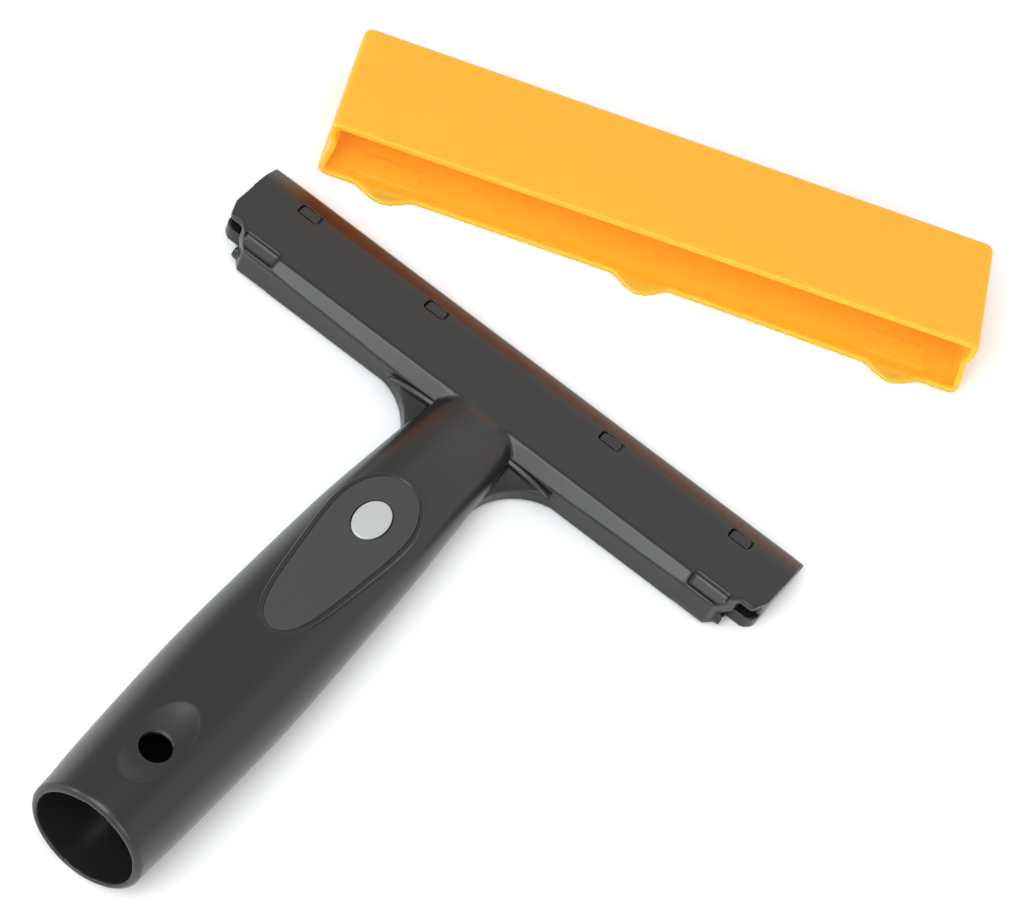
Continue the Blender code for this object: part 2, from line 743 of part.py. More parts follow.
def cut_mechanism(body):
    """The panel's pocket, the button well, the spring's seat and the latch's tunnel."""
    floor = PANEL_HEIGHT - PANEL_THICKNESS - FIT_GAP
    above = PANEL_HEIGHT + OVERRUN
    cut(body, prism_z(teardrop(FIT_GAP), floor, above, panel_lift))
    cap_low = PANEL_HEIGHT + BUTTON_RISE - BUTTON_HEIGHT
    well = cap_low - FIT_GAP - HEAD_PLATE_HEIGHT - BUTTON_TRAVEL - FIT_GAP
    width = BUTTON_HALF_WIDTH + FIT_GAP
    length = BUTTON_HALF_LENGTH + FIT_GAP
    cut(body, prism_z(oval(width, length), well, above))
    seat = (0.0, BUTTON_Y, SPRING_SEAT)
    cut(body, rod(SPRING_WELL_RADIUS, seat, (0.0, BUTTON_Y, above)))
    half = STEM_WIDTH / 2 + FIT_GAP
    reach = STEM_LENGTH / 2 + FIT_GAP
    shaft = rectangle(-half, half, BUTTON_Y - reach, BUTTON_Y + reach)
    low = STEM_REACH - BUTTON_TRAVEL - FIT_GAP * 2
    cut(body, prism_z(shaft, low, above))
    side = LATCH_WIDTH / 2 + FIT_GAP
    rear = back(LATCH_REAR + LATCH_TRAVEL + FIT_GAP)
    tunnel = rectangle(-side, side, rear, back(CORE_BACK - FIT_GAP))
    cut(body, prism_z(tunnel, LATCH_LOW - FIT_GAP, LATCH_TOP + FIT_GAP))


def build_handle(material):
    body = solid("handle_and_upper_jaw", head_bar(), material)
    keep(body, prism_z(head_plan(), -OVERRUN, HEAD_HEIGHT + OVERRUN))
    for side in (-1, 1):
        join(body, web(side))
        join(body, web_bead(side))
        start = (side * (PIN_OUTER - BOSS_LENGTH), HINGE_Y, HINGE_HEIGHT)
        end = (side * PIN_OUTER, HINGE_Y, HINGE_HEIGHT)
        join(body, rod(BOSS_RADIUS, start, end))
    join(body, loft(handle_rings()))
    platform_low = PANEL_HEIGHT - PANEL_ROOT
    join(body, prism_z(teardrop(PANEL_RIM), platform_low, PANEL_HEIGHT, panel_lift))
    cut_head(body)
    cut_windows(body)
    cut_hinge(body)
    cut_cover_pockets(body)
    cut_handle(body)
    cut_mechanism(body)
    smooth(body)
    return body


# Clamp jaw, hinge pins and blade


def peg_outline(x, side_gap, front_gap):
    """A peg from above: square at the rear and rounded at the front."""
    half = PEG_WIDTH / 2 + side_gap
    low = back(PEG_DEPTH) - PEG_THICK / 2 - side_gap
    high = back(PEG_DEPTH) + PEG_THICK / 2 + front_gap
    corners = rectangle(x - half, x + half, low, high)
    return rounded(corners, (0.0, 0.0, PEG_RADIUS, PEG_RADIUS))


def build_jaw(material):
    profile = [
        (back(JAW_FRONT_GAP), JAW_FRONT_LOW),
        (back(JAW_FRONT_GAP), jaw_top(JAW_FRONT_GAP)),
        (back(JAW_DEPTH), jaw_top(JAW_DEPTH)),
        (back(JAW_DEPTH), 0.0),
        (back(JAW_RISE_DEPTH), 0.0),
    ]
    jaw = solid("clamp_jaw", prism_x(profile, -HEAD_HALF, HEAD_HALF), material)
    corners = rectangle(-JAW_HALF, JAW_HALF, back(JAW_DEPTH), back(-OVERRUN))
    plan = rounded(corners, (JAW_CORNER, JAW_CORNER, 0.0, 0.0))
    keep(jaw, prism_z(plan, -OVERRUN, HEAD_HEIGHT))
    root = jaw_top(PEG_DEPTH) - LIP_THICKNESS
    for x in PEG_PLACES:
        outline = peg_outline(x, 0.0, 0.0)
        tip = [(px, py, plate_top(FRONT_Y - py) - PEG_SINK) for px, py in outline]
        join(jaw, loft([[(px, py, root) for px, py in outline], tip]))
    arm_front = back(JAW_DEPTH - LIP_THICKNESS)
    arm = rectangle(HINGE_Y, arm_front, FIT_GAP, HINGE_HEIGHT + KNUCKLE_RADIUS - FIT_GAP)
    for side in (-1, 1):
        ends = sorted((side * KNUCKLE_INNER, side * KNUCKLE_OUTER))
        join(jaw, prism_x(arm, *ends))
        start = (ends[0], HINGE_Y, HINGE_HEIGHT)
        end = (ends[1], HINGE_Y, HINGE_HEIGHT)
        join(jaw, rod(KNUCKLE_RADIUS, start, end))
        bore_start = (ends[0] - OVERRUN, HINGE_Y, HINGE_HEIGHT)
        bore_end = (ends[1] + OVERRUN, HINGE_Y, HINGE_HEIGHT)
        cut(jaw, rod(PIN_RADIUS + PIN_GAP, bore_start, bore_end))
    post_back = CATCH_FRONT + CATCH_POST
    catch = [
        (back(CATCH_FRONT), jaw_top(CATCH_FRONT) - LIP_THICKNESS),
        (back(CATCH_FRONT), CATCH_TOP),
        (back(CATCH_BACK), CATCH_TOP),
        (back(CATCH_BACK), CATCH_TOP - CATCH_LIP_THICKNESS),
        (back(post_back), CATCH_TOP - CATCH_LIP_THICKNESS),
        (back(post_back), jaw_top(post_back) - LIP_THICKNESS),
    ]
    join(jaw, prism_x(catch, -CATCH_WIDTH / 2, CATCH_WIDTH / 2))
    smooth(jaw)
    return jaw


def build_pin(name, side, material):
    start = (side * PIN_INNER, HINGE_Y, HINGE_HEIGHT)
    end = (side * PIN_OUTER, HINGE_Y, HINGE_HEIGHT)
    pin = solid(name, rod(PIN_RADIUS, start, end), material)
    smooth(pin)
    return pin


def build_blade(material):
    def bottom(distance):
        return jaw_top(distance) + FIT_GAP

    rear = BLADE_REAR
    grind = BLADE_GRIND - BLADE_REACH
    edge = (BLADE_THICKNESS - BLADE_EDGE) / 2
    profile = [
        (back(rear), bottom(rear)),
        (back(grind), bottom(grind)),
        (back(-BLADE_REACH), bottom(-BLADE_REACH) + edge),
        (back(-BLADE_REACH), bottom(-BLADE_REACH) + BLADE_THICKNESS - edge),
        (back(grind), bottom(grind) + BLADE_THICKNESS),
        (back(rear), bottom(rear) + BLADE_THICKNESS),
    ]
    blade = solid("blade", prism_x(profile, -BLADE_LENGTH / 2, BLADE_LENGTH / 2), material)
    for x in PEG_PLACES:
        cut(blade, prism_z(peg_outline(x, FIT_GAP, FIT_GAP), 0.0, HEAD_HEIGHT))
    return blade


# Panel, button and latch


def build_panel(material):
    low = PANEL_HEIGHT - PANEL_THICKNESS
    panel = solid("grip_panel", prism_z(teardrop(0.0), low, PANEL_HEIGHT, panel_lift), material)
    opening = oval(BUTTON_HALF_WIDTH + FIT_GAP, BUTTON_HALF_LENGTH + FIT_GAP)
    cut(panel, prism_z(opening, low - OVERRUN, PANEL_HEIGHT + OVERRUN))
    smooth(panel)
    return panel


def build_button(material):
    """The oval cap, with its top parallel to the panel and a small bevel around it."""
    top = PANEL_HEIGHT + BUTTON_RISE
    low = top - BUTTON_HEIGHT
    shoulder = top - BUTTON_RISE / 2
    inset = BUTTON_RISE / 2
    full = oval(BUTTON_HALF_WIDTH, BUTTON_HALF_LENGTH)
    small = oval(BUTTON_HALF_WIDTH - inset, BUTTON_HALF_LENGTH - inset)
    rings = [
        [(x, y, low) for x, y in full],
        [(x, y, shoulder + panel_lift(y)) for x, y in full],
        [(x, y, top + panel_lift(y)) for x, y in small],
    ]
    button = solid("release_button", loft(rings), material)
    smooth(button)
    return button


def leg_rear(z):
    """The rear of the stem's slanted leg, which lies further forward the lower it is."""
    return BUTTON_Y - STEM_LENGTH / 2 + (LEG_TOP - z) * LEG_SLOPE_SHARE


def build_stem(material):
    """The button's stem: an oval head over a square shaft that ends in a slanted leg."""
    head_top = PANEL_HEIGHT + BUTTON_RISE - BUTTON_HEIGHT - FIT_GAP
    head_low = head_top - HEAD_PLATE_HEIGHT
    outline = oval(BUTTON_HALF_WIDTH - FIT_GAP, BUTTON_HALF_LENGTH - FIT_GAP)
    stem = solid("button_stem", prism_z(outline, head_low, head_top), material)
    reach = STEM_LENGTH / 2
    shaft = [
        (leg_rear(STEM_REACH) + LEG_LENGTH, STEM_REACH),
        (leg_rear(LEG_TOP) + LEG_LENGTH, LEG_TOP),
        (BUTTON_Y + reach, LEG_TOP),
        (BUTTON_Y + reach, head_low + HEAD_PLATE_HEIGHT / 2),
        (BUTTON_Y - reach, head_low + HEAD_PLATE_HEIGHT / 2),
        (BUTTON_Y - reach, LEG_TOP),
        (leg_rear(STEM_REACH), STEM_REACH),
    ]
    join(stem, prism_x(shaft, -STEM_WIDTH / 2, STEM_WIDTH / 2))
    smooth(stem)
    return stem


def build_latch(material):
    """The latch bar: a slanted window around the stem's leg, and a thin nose."""
    side = LATCH_WIDTH / 2
    rear = back(LATCH_REAR)
    step = back(LATCH_TIP + LATCH_NOSE)
    tip = back(LATCH_TIP)
    nose_top = LATCH_LOW + LATCH_NOSE_THICKNESS
    profile = [
        (rear, LATCH_LOW),
        (rear, LATCH_TOP),
        (step, LATCH_TOP),
        (step, nose_top),
        (tip, nose_top),
        (tip, LATCH_LOW),
    ]
    latch = solid("latch_bar", prism_x(profile, -side, side), material)
    slack = FIT_GAP * math.hypot(1, LEG_SLOPE_SHARE)
    low = LATCH_LOW - OVERRUN
    high = LATCH_TOP + OVERRUN
    window = [
        (leg_rear(low) - slack, low),
        (leg_rear(low) + LEG_LENGTH + slack, low),
        (leg_rear(high) + LEG_LENGTH + slack, high),
        (leg_rear(high) - slack, high),
    ]
    half = STEM_WIDTH / 2 + FIT_GAP
    cut(latch, prism_x(window, -half, half))
    return latch


# Blade cover


def cover_plan(inset, front, front_radius=0.0):
    """The cover from above, with its opening at y = front and round rear corners."""
    half = COVER_HALF - inset
    corners = [
        (-half, front),
        (half, front),
        (half - COVER_TAPER, COVER_DEPTH - inset),
        (-half + COVER_TAPER, COVER_DEPTH - inset),
    ]
    radius = COVER_CORNER - inset / 2
    return rounded(corners, (front_radius, front_radius, radius, radius))


def lobe(centre_x, longest):
    """One thumb lobe on the lower lip, which swells out softly and thins to its edge."""
    outline = []
    steps = ARC_STEPS * 4
    for step in range(steps + 1):
        across = mix(-1.0, 1.0, step / steps)
        reach = longest * abs(math.cos(across * math.pi / 2)) ** LOBE_POWER_SHARE
        outline.append((centre_x + across * LOBE_WIDTH / 2, -reach))
    outline += [(outline[-1][0], COVER_WALL), (outline[0][0], COVER_WALL)]
    fall_share = (COVER_WALL - LOBE_EDGE) / longest
    top = [(x, y, COVER_WALL + min(y, 0.0) * fall_share) for x, y in outline]
    return loft([[(x, y, 0.0) for x, y in outline], top])


def dent(side, wall, beyond):
    """The wedge by which an end wall is pressed in near the cover's opening."""
    outer = COVER_HALF - wall
    rings = []
    for y, depth in (
        (-OVERRUN, DENT_DEPTH),
        (DENT_LENGTH - DENT_RAMP, DENT_DEPTH),
        (DENT_LENGTH, 0.0),
    ):
        profile = [
            (outer + beyond, COVER_EDGE),
            (outer, COVER_EDGE),
            (outer - depth, DENT_HEIGHT),
            (outer, DENT_TOP),
            (outer + beyond, DENT_TOP),
        ]
        rings.append([(x * side, y, z) for x, z in profile])
    return loft(rings)


def build_cover(material):
    """A sleeve, open in front, with a leaning front edge over a lip with thumb lobes."""
    plan = cover_plan(0.0, -OVERRUN)
    body = solid("blade_cover", prism_z(plan, 0.0, COVER_HEIGHT), material)
    bevel = body.modifiers.new("Bevel", "BEVEL")
    bevel.width = COVER_EDGE
    bevel.segments = 3
    bevel.limit_method = "ANGLE"
    bevel.angle_limit = math.radians(60.0)
    bake(body)
    inside = cover_plan(COVER_WALL, -OVERRUN * 2)
    cut(body, prism_z(inside, COVER_WALL, COVER_HEIGHT - COVER_WALL))
    for side in (-1, 1):
        join(body, dent(side, COVER_WALL, COVER_WALL / 2))
        cut(body, dent(side, 0.0, OVERRUN))
    lean_share = COVER_LEAN / (COVER_HEIGHT - COVER_LIP_HEIGHT)
    front = [
        (-OVERRUN * 2, -OVERRUN),
        (0.0, -OVERRUN),
        (0.0, COVER_LIP_HEIGHT),
        (COVER_LEAN + OVERRUN * lean_share, COVER_HEIGHT + OVERRUN),
        (-OVERRUN * 2, COVER_HEIGHT + OVERRUN),
    ]
    half = COVER_HALF + OVERRUN
    cut(body, prism_x(front, -half, half))
    keep(body, prism_z(cover_plan(0.0, 0.0, COVER_FRONT_CORNER), -OVERRUN, COVER_HEIGHT + OVERRUN))
    join(body, lobe(0.0, MIDDLE_LOBE_REACH))
    for side in (-1, 1):
        join(body, lobe(side * LOBE_SPACING, LOBE_REACH))
    for side in (-1, 1):
        x = side * LOBE_SPACING
        far = SNAP_SETBACK + SNAP_DEPTH
        outline = rectangle(x - SNAP_LENGTH / 2, x + SNAP_LENGTH / 2, SNAP_SETBACK, far)
        join(body, prism_z(outline, COVER_WALL / 2, COVER_WALL + SNAP_HEIGHT))
    smooth(body)
    body.location = (COVER_X, COVER_Y, 0.0)
    body.rotation_euler = (0.0, 0.0, math.radians(COVER_TURN_DEG))
    return body


def hang(pieces, name, place):
    """Parents moving pieces to an empty on their joint's axis."""
    pivot = bpy.data.objects.new(name, None)
    pivot.location = place
    bpy.context.scene.collection.objects.link(pivot)
    for piece in pieces:
        piece.parent = pivot
        piece.matrix_parent_inverse = Matrix.Translation(place).inverted()


def build():
    clear_scene()
    black = finish("black_plastic", (0.035, 0.036, 0.036), 0.38)
    grey = finish("panel_plastic", (0.085, 0.085, 0.087), 0.62)
    silver = finish("button_silver", (0.62, 0.64, 0.65), 0.35, 0.6)
    steel = finish("blade_steel", (0.60, 0.61, 0.62), 0.25, 1.0)
    dark_steel = finish("pin_steel", (0.06, 0.06, 0.065), 0.40, 0.8)
    orange = finish("cover_plastic", (0.95, 0.42, 0.03), 0.35)
    build_handle(black)
    build_panel(grey)
    build_pin("hinge_pin_left", -1, dark_steel)
    build_pin("hinge_pin_right", 1, dark_steel)
    jaw = build_jaw(black)
    blade = build_blade(steel)
    hang((jaw, blade), "jaw_hinge_axis", Vector((0.0, HINGE_Y, HINGE_HEIGHT)))
    button = build_button(silver)
    stem = build_stem(black)
    hang((button, stem), "button_axis", Vector((0.0, BUTTON_Y, PANEL_HEIGHT)))
    latch = build_latch(black)
    hang((latch,), "latch_axis", Vector((0.0, BUTTON_Y, LATCH_LOW)))
    head_low = PANEL_HEIGHT + BUTTON_RISE - BUTTON_HEIGHT - FIT_GAP - HEAD_PLATE_HEIGHT
    foot = (0.0, BUTTON_Y, SPRING_SEAT + FIT_GAP)
    top = (0.0, BUTTON_Y, head_low - FIT_GAP)
    coil("button_spring", foot, top, SPRING_RADIUS, SPRING_WIRE, SPRING_TURNS, steel)
    build_cover(orange)


build()
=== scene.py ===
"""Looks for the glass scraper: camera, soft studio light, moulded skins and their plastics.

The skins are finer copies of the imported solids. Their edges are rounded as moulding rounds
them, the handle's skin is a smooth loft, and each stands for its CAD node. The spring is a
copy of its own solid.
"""

import math

import bmesh
import bpy
from mathutils import Matrix, Vector


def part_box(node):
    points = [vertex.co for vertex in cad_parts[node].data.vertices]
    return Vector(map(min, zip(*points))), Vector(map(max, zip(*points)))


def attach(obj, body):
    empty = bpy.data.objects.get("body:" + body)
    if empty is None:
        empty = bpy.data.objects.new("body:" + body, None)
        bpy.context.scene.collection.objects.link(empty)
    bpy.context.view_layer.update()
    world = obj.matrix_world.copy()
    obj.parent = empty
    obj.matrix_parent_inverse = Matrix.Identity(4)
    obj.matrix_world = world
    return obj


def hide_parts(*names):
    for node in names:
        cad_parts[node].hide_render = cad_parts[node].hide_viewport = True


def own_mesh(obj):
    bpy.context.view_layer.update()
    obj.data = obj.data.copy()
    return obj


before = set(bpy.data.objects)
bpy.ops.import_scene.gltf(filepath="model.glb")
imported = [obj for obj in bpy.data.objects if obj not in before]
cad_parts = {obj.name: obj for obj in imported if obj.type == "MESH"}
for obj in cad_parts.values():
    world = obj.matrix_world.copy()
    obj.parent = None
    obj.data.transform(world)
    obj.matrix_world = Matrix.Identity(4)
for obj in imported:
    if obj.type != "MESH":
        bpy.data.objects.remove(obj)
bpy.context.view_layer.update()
MM = 0.001

# Camera, at the photograph's viewing angle
VIEW_AZIMUTH = -0.2249
VIEW_ELEVATION = 0.9423
VIEW_ROLL = 0.4656
VIEW_DISTANCE = 854.1 * MM
VIEW_TARGET = Vector((10.31, -10.05, 0.0)) * MM
LENS = 130.2
SENSOR = 36.0

# Studio light: levels by height of the sky, and of the card by how straight one looks at it.
# Softboxes: direction, width, height, power and colour.
SKY_STRENGTH = 1.12
BACKGROUND = 1.0
FLOOR_COLOUR = 0.92
FLOOR_REACH = 3.0
FLOOR_DROP = 0.05 * MM
SKY_LEVELS = ((0.0, 0.75), (0.10, 0.80), (0.52, 1.0), (0.66, 0.74), (0.80, 0.52), (0.97, 1.0))
CARD_WAY = (-0.75, 0.66, 0.07)
CARD_LEVELS = ((0.72, 1.0), (0.95, 0.55))
SOFTBOX_DISTANCE = 1.2
SOFTBOXES = {
    "rear_fill": ((-0.13, -0.68, 0.73), 0.55, 0.85, 7.6, (0.90, 0.95, 1.0)),
    "top_fill": ((-0.05, -0.12, 0.99), 0.45, 0.45, 1.1, (1.0, 1.0, 1.0)),
    "left_rear_fill": ((-0.68, -0.63, 0.36), 0.45, 0.45, 2.2, (1.0, 1.0, 1.0)),
    "right_rear_fill": ((0.45, -0.66, 0.40), 0.45, 0.35, 1.8, (1.0, 1.0, 1.0)),
}

# Plastics: the fine grain and the soft patches of their gloss
GRAIN_DETAIL = 3.0
GRAIN_HEIGHT = 0.02 * MM
PATCH_SCALE = 90.0
PATCH_DETAIL = 4.0

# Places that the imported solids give
SHELL_HIGH = Vector(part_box("handle_and_upper_jaw")[1])
FRONT_Y = SHELL_HIGH.y
MOUTH_RADIUS = SHELL_HIGH.z / 2
BUTTON_LOW, BUTTON_HIGH = (Vector(corner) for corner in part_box("release_button"))
BUTTON_Y = (BUTTON_LOW.y + BUTTON_HIGH.y) / 2
PANEL_FRONT_Y = Vector(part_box("grip_panel")[1]).y

# Handle
REAR_Y = FRONT_Y - 28.3 * MM
HANDLE_LENGTH = 145.3 * MM
MOUTH_Y = REAR_Y - HANDLE_LENGTH
MOUTH_ROUND = 0.9 * MM
MOUTH_LEAN_SHARE = 0.045
MOUTH_LEAN_RUN_SHARE = 0.235
GRIP_HALF_WIDTH = 15.65 * MM
NECK_HALF_WIDTH = 12.1 * MM
NECK_TOP = 12.3 * MM
NECK_LIFT = 1.0 * MM
NECK_LIFT_RUN_SHARE = 0.5
SKIN = 0.03 * MM
SOCKET_RADIUS = 12.2 * MM
SOCKET_END_RADIUS = 9.0 * MM
SOCKET_DEPTH = 75.0 * MM
SOCKET_END_HEIGHT = 12.2 * MM
LOCK_HOLE_RADIUS = 3.6 * MM
LOCK_HOLE_DEPTH = 20.1 * MM
DIMPLE_SIZE = Vector((9.9, 13.9, 4.0)) * MM
DIMPLE_DEPTH = 2.3 * MM
DIMPLE_SHIFT = 1.65 * MM
DIMPLE_SEGMENTS = 96
DIMPLE_RINGS = 64
NECK_CUT = 19.5 * MM

# Handle sections from the mouth to the rear wall of the head. Along: share of the handle's
# length. Width: share of the way from the neck's half width to the grip's. Top: share of
# the way from the neck's top to the mouth's. Belly: where the widest level lies.
SECTION_SHARES = (
    (0.000, 0.535, 1.000, 0.500),
    (0.035, 0.56, 1.000, 0.500),
    (0.090, 0.70, 0.996, 0.490),
    (0.155, 0.81, 0.976, 0.485),
    (0.235, 0.92, 0.940, 0.475),
    (0.318, 1.00, 0.892, 0.465),
    (0.400, 0.99, 0.842, 0.460),
    (0.484, 0.90, 0.790, 0.455),
    (0.574, 0.80, 0.735, 0.450),
    (0.664, 0.67, 0.675, 0.450),
    (0.722, 0.56, 0.622, 0.450),
    (0.784, 0.39, 0.535, 0.450),
    (0.846, 0.22, 0.415, 0.450),
    (0.908, 0.06, 0.258, 0.450),
    (0.958, -0.10, 0.110, 0.450),
    (1.000, -0.25, 0.000, 0.450),
)

# Head
HEAD_HALF = SHELL_HIGH.x
PLATE_EDGE = Vector((FRONT_Y - 25.9 * MM, 11.0 * MM))
CREST_END = Vector((FRONT_Y - 28.1 * MM, 9.0 * MM))
CREST_NECK = Vector((FRONT_Y - 29.1 * MM, 7.3 * MM))
CREST_REACH = HEAD_HALF + 3.0 * MM
POCKET_NEAR = 59.0 * MM
POCKET_FAR = 71.0 * MM
WALL_FOOT = Vector((REAR_Y, 0.5 * MM))
WALL_BAND = 0.3 * MM
FACET_NEAR = 11.5 * MM
FACET_BAND = 0.45 * MM

# Front bevel. Shift: distance behind the front edge, and how much the face rises there.
BEVEL_DEPTH = 6.5 * MM
BEVEL_LOW = 3.8 * MM
BEVEL_HIGH = 7.4 * MM
BEVEL_BAND = 0.3 * MM
BEVEL_SHIFT = (
    (0.0, 0.0),
    (0.5, 0.12),
    (1.0, 0.03),
    (1.5, -0.07),
    (2.5, -0.21),
    (3.3, -0.26),
    (4.0, -0.26),
    (5.0, -0.19),
    (6.0, -0.10),
    (7.0, -0.04),
    (8.0, 0.0),
)

# Webs, and the places of their beads' middle line. Drop: how much lower and further to the
# rear a bead's outer end lies than that line.
WEB_CLEAR = 24.5 * MM
WEB_SIDE = 27.2 * MM
WEB_RADIUS = 16.0 * MM
WEB_TIP = 1.2 * MM
WEB_LOW = 0.6 * MM
WEB_EDGE = 4.5 * MM
WEB_BELOW_BEAD = 0.5 * MM
BEAD_PATH = (
    (9.6, -15.9, 7.35),
    (13.0, -15.8, 7.35),
    (17.0, -15.65, 7.0),
    (20.2, -15.45, 6.35),
    (22.4, -15.3, 5.5),
    (23.2, -15.3, 5.0),
)
BEAD_HALF = 0.68 * MM
BEAD_THICK = 0.4 * MM
BEAD_WAY = Vector((0.0, -0.68, 0.73))
BEAD_DROP = Vector((0.0, -0.8, -0.4)) * MM
BEAD_TIP_SHARE = 0.02
BEAD_BLUNTNESS = 0.7

# Teardrop panel, button and the room under them. Outline: distance behind the panel's
# front, and half width.
PANEL_OUTLINE = (
    (0.0, 0.0),
    (0.6, 2.9),
    (2.0, 4.95),
    (4.6, 6.8),
    (7.6, 8.1),
    (11.1, 8.9),
    (14.7, 9.1),
    (18.6, 8.95),
    (22.6, 8.6),
    (26.6, 8.15),
    (30.6, 7.7),
    (34.6, 7.22),
    (38.6, 6.7),
    (42.6, 6.05),
    (46.0, 5.25),
    (48.6, 4.3),
    (50.6, 3.0),
    (51.7, 1.5),
    (52.0, 0.0),
)
PANEL_EDGE = 0.3 * MM
PANEL_GAP = 0.05 * MM
PANEL_HEIGHT = 22.8 * MM
PANEL_THICKNESS = 2.0 * MM
PANEL_RIM = 1.1 * MM
PANEL_RIM_EDGE = 0.5 * MM
PANEL_ROOT = 5.0 * MM
PANEL_SLOPE_SHARE = 0.055
FIT_GAP = 0.3 * MM
BUTTON_HALF_WIDTH = 3.95 * MM
BUTTON_HALF_LENGTH = 5.85 * MM
BUTTON_EDGE = 0.3 * MM
BUTTON_DOME = 0.12 * MM
WELL_FLOOR = 17.3 * MM
SEAT_FLOOR = 10.8 * MM
SEAT_RADIUS = 4.4 * MM
SHAFT_HALF = Vector((2.0, 2.8)) * MM
SHAFT_FLOOR = 2.7 * MM
TUNNEL_HALF = 4.8 * MM
TUNNEL_LOW = 4.3 * MM
TUNNEL_HIGH = 7.8 * MM
TUNNEL_REAR = FRONT_Y - 85.26 * MM
OVERRUN = 3.0 * MM

# Pegs of the clamp jaw in their windows
PEG_PLACES = (-63.1, -25.6, 25.6, 63.1)
PEG_HALF = Vector((2.7, 1.5)) * MM
PEG_Y = FRONT_Y - 7.7 * MM
PEG_GAP = 0.04 * MM
LEDGE = 0.4 * MM
LEDGE_REACH = 0.6 * MM
PLATE_SLOPE_SHARE = 0.1856
JAW_VOXEL = 0.3 * MM

# Blade cover. Size: half its length, its depth and its height. Painted glow, an emission that
# stands in for light coming through the wall: how far within its outer faces it starts, over what
# run it grows, and how deep in the mouth it is full.
COVER_PLACE = Vector((3.8, 54.35, 0.0)) * MM
COVER_TURN = math.radians(22.7)
COVER_VOXEL = 0.4 * MM
LIP_BOW = 0.9 * MM
LIP_BOW_START = 10.0 * MM
LIP_BOW_RUN = 65.0 * MM
LIP_BOW_DEPTH = 12.0 * MM
LIP_BOW_HEIGHT = 10.0 * MM
COVER_SIZE = Vector((82.2, 35.8, 15.2)) * MM
PAINTED_GLOW_START = 0.7 * MM
PAINTED_GLOW_RUN = 0.6 * MM
PAINTED_GLOW_MOUTH = 4.0 * MM
# Painted glow: the emission colour and strength that stand in for light coming through the cover's
# wall.
PAINTED_GLOW_COLOUR = (0.60, 0.30, 0.05)
PAINTED_GLOW_STRENGTH = 0.28
COVER_COLOUR = (0.93, 0.395, 0.017)
COVER_DEPTHS = (1.0, 0.45, 0.08)
COVER_SCATTER = 6.0 * MM

# Fineness of the skins
FINE_POINTS = 144
FINE_RINGS = 180
BEAD_POINTS = 24
BEAD_STEPS = 48
EDGE_TURNS = 6
MOUTH_TURNS = 8
WEB_STEPS = 24
HANDLE_ROUNDS = 3
JAW_ROUNDS = 2
COVER_ROUNDS = 3
VOXEL = 0.35 * MM


def mix(low, high, share):
    return low + (high - low) * share


def clamp(value):
    return max(0.0, min(1.0, value))


def ease(share):
    """A share that starts and ends gently."""
    return share * share * (3 - 2 * share)


# Camera, light and floor


def view_axes():
    """The camera's right, up and backward directions."""
    flat = math.cos(VIEW_ELEVATION)
    ahead = Vector(
        (math.sin(VIEW_AZIMUTH) * flat, math.cos(VIEW_AZIMUTH) * flat, -math.sin(VIEW_ELEVATION))
    )
    level = Vector((math.cos(VIEW_AZIMUTH), -math.sin(VIEW_AZIMUTH), 0.0))
    upright = level.cross(ahead)
    right = level * math.cos(VIEW_ROLL) + upright * math.sin(VIEW_ROLL)
    up = upright * math.cos(VIEW_ROLL) - level * math.sin(VIEW_ROLL)
    return right, up, -ahead


def add_camera():
    right, up, backward = view_axes()
    data = bpy.data.cameras.new("camera")
    data.sensor_width = SENSOR
    data.lens = LENS
    camera = bpy.data.objects.new("camera", data)
    turn = Matrix((right, up, backward)).transposed().to_4x4()
    camera.matrix_world = Matrix.Translation(VIEW_TARGET + backward * VIEW_DISTANCE) @ turn
    bpy.context.scene.collection.objects.link(camera)
    bpy.context.scene.camera = camera


def add_softbox(name, direction, width, height, power, colour):
    """A soft area light that shines on the middle of the object from a direction."""
    data = bpy.data.lights.new(name, "AREA")
    data.shape = "RECTANGLE"
    data.size = width
    data.size_y = height
    data.energy = power
    data.color = colour
    light = bpy.data.objects.new(name, data)
    way = Vector(direction).normalized()
    light.location = VIEW_TARGET + way * SOFTBOX_DISTANCE
    light.rotation_euler = way.to_track_quat("Z", "Y").to_euler()
    bpy.context.scene.collection.objects.link(light)


def ramp_node(tree, values):
    """A ramp of grey levels. Values: place along the ramp, then level."""
    ramp = tree.nodes.new("ShaderNodeValToRGB")
    ramp.color_ramp.interpolation = "EASE"
    while len(ramp.color_ramp.elements) < len(values):
        ramp.color_ramp.elements.new(0.5)
    for element, (place, level) in zip(ramp.color_ramp.elements, values):
        element.position = place
        element.color = (level, level, level, 1.0)
    return ramp


